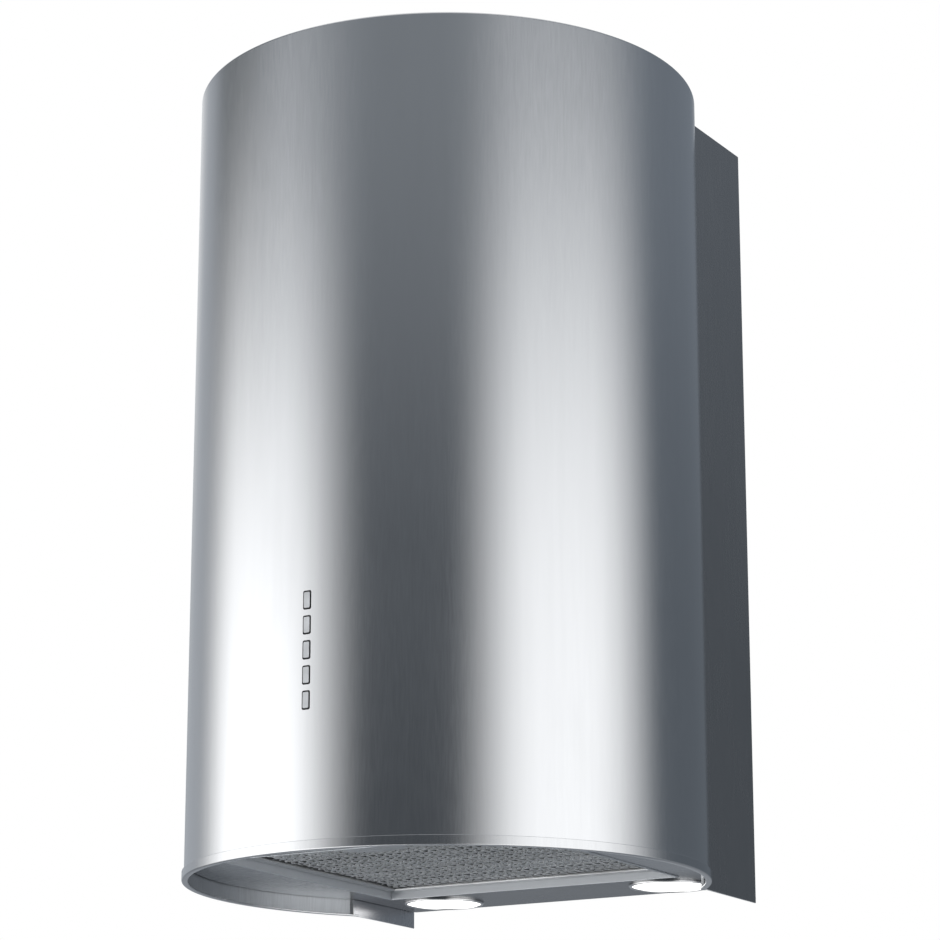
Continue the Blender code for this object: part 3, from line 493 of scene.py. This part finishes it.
SLOT_MATERIALS = {
    "brushed_stainless": PANEL_STEEL,
    "galvanised_steel": ZINC,
    "aluminium": ALUMINIUM,
    "polished_steel": POLISHED,
    "lamp_glass": LAMP_GLASS,
    "button_grey": BUTTON_PLASTIC,
    "dark_plastic": DARK_PLASTIC,
    "white_plastic": WHITE_PLASTIC,
    "circuit_board": CIRCUIT_BOARD,
}


# ---------------------------------------------------------------- shapes


def piece(name, mesh, material, body, slot, *nodes):
    """A finished piece that stands for these CAD nodes, or that is an addition where none is named."""
    obj = bpy.data.objects.new(name, mesh)
    bpy.context.scene.collection.objects.link(obj)
    mesh.materials.append(material)
    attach(obj, body)
    if nodes:
        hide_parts(*nodes)
    return obj


def solid_mesh(name, points, faces):
    """A closed mesh with its faces turned outward."""
    mesh = bpy.data.meshes.new(name)
    mesh.from_pydata(points, [], faces)
    work = bmesh.new()
    work.from_mesh(mesh)
    bmesh.ops.remove_doubles(work, verts=work.verts, dist=1e-7)
    bmesh.ops.recalc_face_normals(work, faces=work.faces)
    work.to_mesh(mesh)
    work.free()
    return mesh


def mesh_of(name, points, faces, crease=CREASE):
    """A closed mesh, shaded smooth but for edges sharper than the crease."""
    mesh = solid_mesh(name, points, faces)
    mesh.shade_smooth()
    mesh.set_sharp_from_angle(angle=crease)
    return mesh


def arc(radius, start, end, steps, centre):
    """The points of an arc, both ends included."""
    angles = [start + (end - start) * i / steps for i in range(steps + 1)]
    return [(centre[0] + radius * cos(a), centre[1] + radius * sin(a)) for a in angles]


def turned(name, profile, steps, centre, sweep=None, crease=CREASE):
    """An outline of (radius, height) turned round a vertical line, all the way or from -sweep to +sweep."""
    turns = steps if sweep is None else steps + 1
    count = len(profile)
    points, faces = [], []
    for i in range(turns):
        angle = 2 * pi * i / steps if sweep is None else -sweep + 2 * sweep * i / steps
        for radius, height in profile:
            points.append((centre[0] + radius * sin(angle), centre[1] - radius * cos(angle), height))
    for i in range(steps):
        here, there = i * count, (i + 1) % turns * count
        for j in range(count):
            k = (j + 1) % count
            faces.append((here + j, there + j, there + k, here + k))
    if sweep is not None:
        faces.append(tuple(range(count)))
        faces.append(tuple(range(steps * count, steps * count + count))[::-1])
    return mesh_of(name, points, faces, crease)


def prism_faces(start, count):
    """The faces of a prism whose two outlines, of count points each, follow one another from start."""
    faces = []
    for j in range(start, start + count):
        k = start + (j + 1 - start) % count
        faces.append((j, k, count + k, count + j))
    faces.append(tuple(range(start, start + count)))
    faces.append(tuple(range(start + count, start + 2 * count))[::-1])
    return faces


def mitred_frame(name, profile, half_width, half_depth, centre, direction):
    """Four mitred bars. The outline is (inward from the rectangle, height); direction -1 turns it outward."""
    points, faces = [], []
    for turn in range(4):
        cosine, sine = cos(turn * pi / 2), sin(turn * pi / 2)
        reach, depth = (half_width, half_depth) if turn % 2 == 0 else (half_depth, half_width)
        faces += prism_faces(len(points), len(profile))
        for end in (-1, 1):
            for inward, height in profile:
                x = end * (reach - direction * inward - MITRE_GAP)
                y = -depth + direction * inward
                points.append((centre.x + x * cosine - y * sine, centre.y + x * sine + y * cosine, height))
    return mesh_of(name, points, faces)


# ---------------------------------------------------------------- cutting


def cutter_object(name, points, faces):
    """A solid that only cuts, and that cut_away removes again."""
    cutter = bpy.data.objects.new(name, solid_mesh(name, points, faces))
    bpy.context.scene.collection.objects.link(cutter)
    return cutter


def window_cutter():
    """Five prisms with rounded corners, one over each button."""
    points, faces = [], []
    reach_x, reach_z = WINDOW_WIDTH / 2 - WINDOW_CORNER, WINDOW_HEIGHT / 2 - WINDOW_CORNER
    for button in BUTTONS:
        height = middle(button).z
        outline = []
        for turn, (side, level) in enumerate(((1, 1), (-1, 1), (-1, -1), (1, -1))):
            heart = (side * reach_x, height + level * reach_z)
            outline += arc(WINDOW_CORNER, turn * pi / 2, (turn + 1) * pi / 2, 5, heart)
        faces += prism_faces(len(points), len(outline))
        for depth in (-WINDOW_CUT, WINDOW_CUT):
            points += [(x, SHELL_LOW.y + depth, z) for x, z in outline]
    return cutter_object("window_cutter", points, faces)


def pivot_cutter():
    """A rod along x, a running clearance wider than the filter's pivot pins."""
    low, high = corners("filter_pivot_left")
    centre, radius = middle("filter_pivot_left"), (high.z - low.z) / 2 + PIN_CLEARANCE
    outline = arc(radius, 0, 2 * pi, PIN_HOLE_STEPS, (centre.y, centre.z))[:-1]
    points = [(x, y, z) for x in (SHELL_LOW.x, SHELL_HIGH.x) for y, z in outline]
    return cutter_object("pivot_cutter", points, prism_faces(0, PIN_HOLE_STEPS))


def cut_away(obj, cutter):
    """Takes the cutter's shape out of the piece, removes the cutter, and returns the piece's new mesh."""
    name = obj.data.name
    cut = obj.modifiers.new("cut", "BOOLEAN")
    cut.solver = "EXACT"
    cut.object = cutter
    bpy.context.view_layer.update()
    finished = bpy.data.meshes.new_from_object(obj.evaluated_get(bpy.context.evaluated_depsgraph_get()))
    obj.modifiers.clear()
    obj.data = finished
    finished.name = name
    bpy.data.objects.remove(cutter)
    return finished


# ---------------------------------------------------------------- casing pieces


def outward(spot):
    """The level direction from the shell's axis to this spot."""
    return Vector((spot.x - AXIS.x, spot.y - AXIS.y, 0)).normalized()


def round_normals(mesh):
    """Radial normals on the curved faces, so that the cut windows leave no shading marks."""
    normals = {}
    for polygon in mesh.polygons:
        for index in polygon.loop_indices:
            radial = outward(mesh.vertices[mesh.loops[index].vertex_index].co)
            turn = polygon.normal.dot(radial)
            if abs(turn) > 0.999:
                normals[index] = radial if turn > 0 else -radial
            else:
                normals[index] = mesh.corner_normals[index].vector.copy()
    mesh.normals_split_custom_set([tuple(normals[index]) for index in sorted(normals)])


def make_shell():
    """The round sheet with its folded top edge and five button windows."""
    radius, low, high = SHELL_RADIUS, SHELL_LOW.z, SHELL_HIGH.z
    inner = radius - SHEET
    profile = [(inner, low), (radius, low)]
    profile += arc(HEM_ROUNDING, 0, pi / 2, 6, (radius - HEM_ROUNDING, high - HEM_ROUNDING))
    profile += [(radius - HEM_WIDTH, high), (radius - HEM_WIDTH, high - SHEET)]
    profile += [(radius - HEM_ROUNDING, high - SHEET), (inner, high - HEM_ROUNDING)]
    mesh = turned("shell_skin", profile, SHELL_COLUMNS, AXIS, SHELL_SWEEP)
    shell = piece("shell_skin", mesh, STEEL, "casing", "brushed_stainless", "front_shell")
    finished = cut_away(shell, window_cutter())
    round_normals(finished)
    finished.materials.append(INNER_STEEL)
    for polygon in finished.polygons:
        faces_axis = polygon.normal.dot(outward(polygon.center)) < -0.9
        polygon.material_index = 1 if faces_axis else 0


def make_rim():
    """The rolled lip under the shell, a little wider than it, with its narrow inward flange."""
    low, high = corners("bottom_rim")
    lip = (high.x - low.x) / 2
    face, seat, inner = lip - RIM_INSET, SHELL_RADIUS + RIM_SEAT, SHELL_RADIUS - FLANGE_WIDTH
    top, foot, turn = RIM_TOP_ROUNDING, RIM_FOOT_ROUNDING, FLANGE_ROUNDING
    shelf = low.z + FLANGE_THICKNESS
    profile = [(seat, high.z)]
    profile += arc(top, pi / 2, 0, 4, (face - top, high.z - top))
    profile += [(face, high.z - top - RIM_SUPPORT), (face, low.z + foot + RIM_SUPPORT)]
    profile += arc(foot, 0, -pi / 2, 6, (face - foot, low.z + foot))
    profile += arc(turn, -pi / 2, -pi, 4, (inner + turn, low.z + turn))
    profile += [(inner, shelf), (seat, shelf)]
    sweep = acos(-(high.y - AXIS.y) / lip)
    mesh = turned("rim_roll", profile, RIM_COLUMNS, AXIS, sweep, ROUNDED_CREASE)
    piece("rim_roll", mesh, RIM_STEEL, "casing", "brushed_stainless", "bottom_rim")


def make_seam(side):
    """The narrow folded strip that closes the wedge between a side panel's front edge and the shell."""
    low, high = corners(f"side_panel_{side}")
    sign = 1 if side == "right" else -1
    front, inner = low.y - AXIS.y - SEAM_GAP, SHELL_RADIUS - SHEET - SEAM_SHELL_GAP
    start = min(abs(low.x), abs(high.x)) + SEAM_GAP
    fold = (inner**2 - front**2) ** 0.5
    leg, back = start + SHEET, front + SEAM_DEPTH
    outline = [(start, front), (fold - SEAM_FOLD, front - SEAM_FOLD), (fold, front)]
    outline += [(leg + SEAM_LEG, back), (leg, back), (leg, front + SEAM_SHEET), (start, front + SEAM_EDGE)]
    base, top = SHELL_LOW.z + SEAM_END_GAP, corners("underside_panel")[0].z - SEAM_END_GAP
    points = [(sign * x, AXIS.y + y, z) for z in (base, top) for x, y in outline]
    mesh = mesh_of(f"seam_strip_{side}", points, prism_faces(0, len(outline)))
    piece(f"seam_strip_{side}", mesh, RIM_STEEL, "casing", "brushed_stainless")


def make_lamp_ring(side, outer, bore, panel):
    """A spotlight's turned ring, with a rounded face and a tube behind the panel."""
    low, high = corners(f"lamp_bezel_{side}")
    recess, tube, shoulder = outer - LAMP_RECESS_INSET, outer - LAMP_TUBE_INSET, low.z + LAMP_SHOULDER
    profile = [(outer, panel), (outer, shoulder)]
    profile += arc(LAMP_ROUNDING, 0, -pi / 2, 5, (outer - LAMP_ROUNDING_INSET, shoulder))
    lip = low.z + LAMP_LIP
    profile += [(recess + LAMP_LIP_SLOPE, lip), (recess, lip + LAMP_LIP_SLOPE), (recess, panel)]
    profile += [(bore, panel), (bore, high.z), (tube, high.z), (tube, panel)]
    name, heart = f"lamp_ring_{side}", middle(f"lamp_bezel_{side}")
    ring = turned(name, profile, RING_STEPS, heart, crease=ROUNDED_CREASE)
    piece(name, ring, POLISHED, "casing", "polished_steel", f"lamp_bezel_{side}")


def make_lamp_glass(side, rim, panel):
    """A spotlight's shallow domed glass."""
    face, back = corners(f"lamp_lens_{side}")[0].z, panel - GLASS_GAP
    angles = [i * pi / 2 / GLASS_STEPS for i in range(GLASS_STEPS)]
    profile = [(rim, back)]
    profile += [(rim * cos(a), face + GLASS_RISE * (1 - sin(a))) for a in angles]
    profile += [(GLASS_HEART, face), (GLASS_HEART, back)]
    name, heart = f"lamp_glass_{side}", middle(f"lamp_bezel_{side}")
    glass = turned(name, profile, RING_STEPS, heart, crease=ROUNDED_CREASE)
    piece(name, glass, LAMP_GLASS, "casing", "lamp_glass", f"lamp_lens_{side}")


def make_lamp(side):
    """One recessed spotlight."""
    low, high = corners(f"lamp_bezel_{side}")
    lens_low, lens_high = corners(f"lamp_lens_{side}")
    outer, bore = (high.x - low.x) / 2, (lens_high.x - lens_low.x) / 2 + GLASS_GAP
    panel = corners("underside_panel")[0].z - LAMP_GAP
    make_lamp_ring(side, outer, bore, panel)
    make_lamp_glass(side, outer - LAMP_RECESS_INSET - GLASS_GAP, panel)


def make_surround():
    """The folded wall round the filter opening, with a rounded hem under the panel's edge."""
    low, high = corners("filter_surround")
    wall, turn, soft = SURROUND_WALL, SURROUND_DROP / 2, SURROUND_DROP / 2 * 0.9
    base, flange = low.z - SURROUND_DROP, SURROUND_FLANGE + SURROUND_WALL
    hem, under = SURROUND_HEM - turn * 0.1, low.z - SURROUND_GAP
    profile = [(0, high.z), (0, base + turn)]
    profile += arc(turn, pi, 1.5 * pi, 4, (turn, base + turn))[1:]
    profile += arc(soft, -pi / 2, 0, 4, (SURROUND_HEM - turn, base + soft))
    profile += [(hem, under), (wall, under), (wall, high.z - wall)]
    profile += [(flange, high.z - wall), (flange, high.z)]
    half_width, half_depth = (high.x - low.x) / 2 - flange, (high.y - low.y) / 2 - flange
    name, node = "opening_surround", "filter_surround"
    mesh = mitred_frame(name, profile, half_width, half_depth, middle(node), -1)
    surround = piece(name, mesh, SURROUND_STEEL, "casing", "brushed_stainless", node)
    cut_away(surround, pivot_cutter())


def make_collar():
    """The spun outlet collar with a rolled top and a bead."""
    low, high = corners("outlet_collar")
    flange, wall, root = (high.x - low.x) / 2, COLLAR_WALL, COLLAR_ROOT
    radius = flange - COLLAR_FLANGE
    bead, bead_steps = high.z - BEAD_FROM_TOP, 8
    chamfer = COLLAR_CHAMFER
    profile = [(flange, low.z), (flange, low.z + wall - chamfer), (flange - chamfer, low.z + wall)]
    profile += arc(root, -pi / 2, -pi, 5, (radius + root, low.z + wall + root))
    profile += [(radius, bead - BEAD_HALF)]
    for i in range(1, bead_steps):
        swell = BEAD_HEIGHT * sin(i * pi / bead_steps)
        profile.append((radius + swell, bead - BEAD_HALF + 2 * BEAD_HALF * i / bead_steps))
    profile += [(radius, bead + BEAD_HALF), (radius, high.z - wall / 2)]
    profile += arc(wall / 2, 0, pi, 6, (radius - wall / 2, high.z - wall / 2))
    profile += [(radius - wall, low.z)]
    mesh = turned("duct_collar", profile, COLLAR_STEPS, middle("outlet_collar"))
    piece("duct_collar", mesh, ZINC, "casing", "galvanised_steel", "outlet_collar")


# ---------------------------------------------------------------- filter pieces


def strand_layer(points, faces, low, high, height, pitch, period):
    """Crimped expanded metal: zigzag strands side by side that touch at every peak."""
    rows = int((high.y - low.y) / pitch)
    bends = int((high.x - low.x) / (period / 2))
    row_step, bend_step = (high.y - low.y) / rows, (high.x - low.x) / bends
    half, rise = STRAND_WIDTH / 2, STRAND_THICKNESS / 2
    swing = row_step / 2 - half
    for row in range(rows):
        start = len(points)
        for bend in range(bends + 1):
            side = 1 if (bend + row) % 2 else -1
            tilt = STRAND_TILT * side
            spot = low.y + (row + 0.5) * row_step + side * swing
            section = ((-half, -rise - tilt), (half, -rise + tilt), (half, rise + tilt), (-half, rise - tilt))
            for offset, lift in section:
                crimp = CRIMP_HEIGHT * sin(2 * pi * (spot + offset - low.y) / CRIMP_LENGTH)
                points.append((low.x + bend * bend_step, spot + offset, height + lift + crimp))
        for here in range(start, start + 4 * bends, 4):
            for j in range(4):
                k = (j + 1) % 4
                faces.append((here + j, here + k, here + 4 + k, here + 4 + j))
        last = start + 4 * bends
        faces.append((start + 3, start + 2, start + 1, start))
        faces.append((last, last + 1, last + 2, last + 3))


def make_filter_weave():
    """Three layers of crimped expanded aluminium."""
    low, high = corners("filter_mesh")
    points, faces = [], []
    strand_layer(points, faces, low, high, low.z + LAYER_DEPTH, LAYER_PITCH, LAYER_PERIOD)
    strand_layer(points, faces, low, high, low.z + BACK_DEPTH, BACK_PITCH, BACK_PERIOD)
    strand_layer(points, faces, low, high, high.z - LAYER_DEPTH, LAYER_PITCH, LAYER_PERIOD)
    mesh = mesh_of("filter_weave", points, faces)
    piece("filter_weave", mesh, MESH_ALUMINIUM, "filter", "aluminium", "filter_mesh")


def make_filter_baffle():
    """The dark corrugated sheet between the filter's layers."""
    low, high = corners("filter_mesh")
    points, faces = [], []
    for side in (0, 1):
        for i in range(BAFFLE_WAVES + 1):
            y = low.y + (high.y - low.y) * i / BAFFLE_WAVES
            wave = BAFFLE_SWING if i % 2 else -BAFFLE_SWING
            z = low.z + BAFFLE_DEPTH + wave + side * BAFFLE_THICKNESS
            points += [(low.x, y, z), (high.x, y, z)]
    count = 2 * (BAFFLE_WAVES + 1)
    for a in range(0, 2 * BAFFLE_WAVES, 2):
        b = count + a
        faces += [(a, a + 1, a + 3, a + 2), (b, b + 2, b + 3, b + 1)]
        faces += [(a, a + 2, b + 2, b), (a + 1, b + 1, b + 3, a + 3)]
    faces.append((0, count, count + 1, 1))
    faces.append((count - 2, count - 1, 2 * count - 1, 2 * count - 2))
    mesh = mesh_of("filter_baffle", points, faces, BAFFLE_CREASE)
    piece("filter_baffle", mesh, BAFFLE_ALUMINIUM, "filter", "aluminium")


def channel_profile(height):
    """Cross-section of one side of the frame, (inward, up): a U that is open towards the mesh."""
    rounding, bar, lip, chamfer = CHANNEL_ROUNDING, CHANNEL_BAR, CHANNEL_LIP, CHANNEL_CHAMFER
    outline = arc(rounding, pi, 1.5 * pi, 4, (rounding, rounding))
    outline += [(bar - chamfer, 0), (bar, chamfer), (bar, lip), (lip, lip), (lip, height - lip)]
    outline += [(bar, height - lip), (bar, height - chamfer), (bar - chamfer, height)]
    return outline + arc(rounding, pi / 2, pi, 4, (rounding, height - rounding))


def make_filter_frame():
    """Four rolled channels, mitred at the corners."""
    low, high = corners("filter_frame")
    profile = [(inward, low.z + up) for inward, up in channel_profile(high.z - low.z)]
    half_width, half_depth = (high.x - low.x) / 2, (high.y - low.y) / 2
    mesh = mitred_frame("filter_channel", profile, half_width, half_depth, middle("filter_frame"), 1)
    piece("filter_channel", mesh, ALUMINIUM, "filter", "aluminium", "filter_frame")


# ---------------------------------------------------------------- CAD nodes that stay


def edge_smoother():
    """Smooth shading with sharp edges where faces meet at more than the crease."""
    group = bpy.data.node_groups.new("smooth_by_angle", "GeometryNodeTree")
    group.interface.new_socket("Geometry", in_out="INPUT", socket_type="NodeSocketGeometry")
    group.interface.new_socket("Geometry", in_out="OUTPUT", socket_type="NodeSocketGeometry")
    nodes, links = group.nodes, group.links
    start, end = nodes.new("NodeGroupInput"), nodes.new("NodeGroupOutput")
    drop = nodes.new("GeometryNodeRemoveAttribute")
    drop.inputs["Name"].default_value = "custom_normal"
    merge = nodes.new("GeometryNodeMergeByDistance")
    merge.inputs["Distance"].default_value = 1e-6
    face, edge = nodes.new("GeometryNodeSetShadeSmooth"), nodes.new("GeometryNodeSetShadeSmooth")
    face.domain, edge.domain = "FACE", "EDGE"
    edge.inputs["Shade Smooth"].default_value = False
    angle, over = nodes.new("GeometryNodeInputMeshEdgeAngle"), nodes.new("FunctionNodeCompare")
    over.operation = "GREATER_THAN"
    links.new(angle.outputs["Unsigned Angle"], over.inputs[0])
    over.inputs[1].default_value = CREASE
    links.new(over.outputs[0], edge.inputs["Selection"])
    previous = start.outputs[0]
    for step in (drop, merge, face, edge):
        links.new(previous, step.inputs[0])
        previous = step.outputs[0]
    links.new(previous, end.inputs[0])
    return group


BEVELS = {
    "filter_latch": 0.0007,
    "underside_panel": 0.00035,
    "side_panel_left": 0.0003,
    "side_panel_right": 0.0003,
    "terminal_box": 0.0008,
    "terminal_lid": 0.0004,
    "control_housing": 0.0008,
    "wall_bracket": 0.0004,
    "rear_plate": 0.0003,
    "top_plate": 0.0003,
    "motor_body": 0.0006,
    **{button: 0.0005 for button in BUTTONS},
}
OWN_MATERIALS = {"side_panel_left": SIDE_STEEL_PAINTED_LIGHT, "side_panel_right": SIDE_STEEL_PAINTED_LIGHT}


def round_edges(obj, width):
    """A small round on the node's edges."""
    bevel = obj.modifiers.new("edge_round", "BEVEL")
    bevel.width = width
    bevel.segments = 2
    bevel.limit_method = "ANGLE"
    bevel.angle_limit = radians(40)
    bevel.use_clamp_overlap = True
    bevel.harden_normals = False


def dress_cad_nodes():
    """Finish, smooth shading and small edge rounds on every CAD node that is still shown."""
    group = edge_smoother()
    slots = {part["node"]: part["material_slot"] for part in frame["record"]["subparts"]}
    for name, obj in NODES.items():
        if obj.hide_render:
            continue
        obj.data.materials.clear()
        obj.data.materials.append(OWN_MATERIALS.get(name, SLOT_MATERIALS[slots[name]]))
        obj.modifiers.new("smooth_by_angle", "NODES").node_group = group
        if name in BEVELS:
            round_edges(obj, BEVELS[name])


make_shell()
make_rim()
for lamp_side in ("left", "right"):
    make_lamp(lamp_side)
    make_seam(lamp_side)
make_filter_weave()
make_filter_baffle()
make_filter_frame()
make_surround()
make_collar()
dress_cad_nodes()


# ---------------------------------------------------------------- light, floor and camera


def tall_light(tree, azimuth, height, rise, fall, top, strength):
    """A soft upright light between two azimuths, fading out at its top. Angles in degrees."""
    band = math(tree, "MULTIPLY", ramp(tree, azimuth, *rise), fade(tree, azimuth, *fall))
    return math(tree, "MULTIPLY", math(tree, "MULTIPLY", band, fade(tree, height, *top)), strength)


def room_light(tree, azimuth, height):
    """The dim room: darker low down and in front, paler to the left and behind, with a pale ceiling."""
    low = (0.074, 0.083, 0.094, 1.0)
    high_left, high_right = (0.13, 0.145, 0.16, 1.0), (0.290, 0.315, 0.345, 1.0)
    rear_low, rear_high = (0.130, 0.150, 0.174, 1.0), (0.205, 0.235, 0.275, 1.0)
    left_wall, ceiling = (0.455, 0.485, 0.525, 1.0), (0.95, 0.96, 0.98, 1.0)
    glare_colour = (1.05, 1.06, 1.08, 1.0)
    below_front, below_rear = (0.10, 0.11, 0.12, 1.0), (0.270, 0.290, 0.318, 1.0)
    climb = ramp(tree, height, 11.0, 23.0)
    high = mix_colour(tree, ramp(tree, azimuth, -84.0, -48.0), high_left, high_right)
    rear = mix_colour(tree, climb, rear_low, rear_high)
    room = mix_colour(tree, ramp(tree, azimuth, 100.0, 135.0), mix_colour(tree, climb, low, high), rear)
    room = mix_colour(tree, fade(tree, azimuth, -114.0, -90.0), room, left_wall)
    glare = math(tree, "MULTIPLY", fade(tree, azimuth, -140.0, -114.0), ramp(tree, height, 9.0, 22.0))
    room = mix_colour(tree, math(tree, "MULTIPLY", glare, 0.75), room, glare_colour)
    room = mix_colour(tree, fade(tree, azimuth, -172.0, -150.0), room, rear)
    room = mix_colour(tree, ramp(tree, height, 36.0, 68.0), room, ceiling)
    behind = ramp(tree, math(tree, "ABSOLUTE", azimuth), 95.0, 130.0)
    below = mix_colour(tree, behind, below_front, below_rear)
    return mix_colour(tree, fade(tree, height, -12.0, 2.0), room, below)


def make_world():
    """A studio for light and reflections: two tall soft lights in a dim room. The camera sees white."""
    world = bpy.data.worlds.new("studio")
    bpy.context.scene.world = world
    world.use_nodes = True
    tree = world.node_tree
    tree.nodes.clear()
    x, y, z = add(tree, "SeparateXYZ", {0: add(tree, "TexCoord").outputs["Generated"]}).outputs
    azimuth = math(tree, "DEGREES", math(tree, "ARCTAN2", x, math(tree, "MULTIPLY", y, -1.0)))
    height = math(tree, "DEGREES", math(tree, "ARCSINE", z))
    left = tall_light(tree, azimuth, height, (-112.0, -72.0), (-47.0, -4.0), (10.0, 24.0), 2.0)
    right = tall_light(tree, azimuth, height, (31.0, 69.0), (94.0, 140.0), (12.0, 25.0), 1.6)
    room = room_light(tree, azimuth, height)
    glow = mix_colour(tree, 1.0, room, math(tree, "ADD", left, right), "ADD")
    seen = add(tree, "Background", {"Color": WHITE, "Strength": 1.0})
    studio = add(tree, "Background", {"Color": glow, "Strength": 1.0})
    straight = add(tree, "LightPath").outputs["Is Camera Ray"]
    both = add(tree, "MixShader", {0: straight, 1: studio.outputs[0], 2: seen.outputs[0]})
    add(tree, "OutputWorld", {0: both.outputs[0]})


def floor_material():
    """A plain pale floor that glows a little."""
    made, tree, shader = new_material("studio_floor")
    shade = spread(tree, even_noise(tree, 1.5, 2.0))
    feed(tree, shader, "Base Color", mix_colour(tree, shade, grey(0.80), grey(0.84)))
    feed(tree, shader, "Roughness", 0.9)
    feed(tree, shader, "Emission Color", WHITE)
    feed(tree, shader, "Emission Strength", FLOOR_GLOW)
    return made


def make_floor():
    """A round floor far below the hood, left out of reflections."""
    work = bmesh.new()
    bmesh.ops.create_circle(work, cap_ends=True, segments=RING_STEPS, radius=FLOOR_RADIUS)
    mesh = bpy.data.meshes.new("studio_floor")
    work.to_mesh(mesh)
    work.free()
    mesh.materials.append(floor_material())
    floor = bpy.data.objects.new("studio_floor", mesh)
    floor.location = (0, 0, FLOOR_LEVEL)
    bpy.context.scene.collection.objects.link(floor)
    floor.visible_glossy = False


def make_camera():
    """The photograph's view, aimed near the middle of the CAD."""
    yaw, pitch = CAMERA_YAW, CAMERA_PITCH
    forward = Vector((-sin(yaw) * cos(pitch), cos(yaw) * cos(pitch), sin(pitch)))
    right = Vector((cos(yaw), sin(yaw), 0))
    up = right.cross(forward)
    low, high = (Vector(corner) for corner in CAD_BOUNDS)
    aim = (low + high) / 2 + right * AIM_RIGHT + up * AIM_UP
    lens = bpy.data.cameras.new("photo_view")
    lens.lens = CAMERA_LENS
    lens.sensor_width = SENSOR_WIDTH
    camera = bpy.data.objects.new("photo_view", lens)
    camera.location = aim - forward * CAMERA_DISTANCE
    camera.rotation_euler = forward.to_track_quat("-Z", "Y").to_euler()
    bpy.context.scene.collection.objects.link(camera)
    bpy.context.scene.camera = camera
    bpy.context.scene.view_settings.view_transform = "Standard"


make_world()
make_floor()
make_camera()
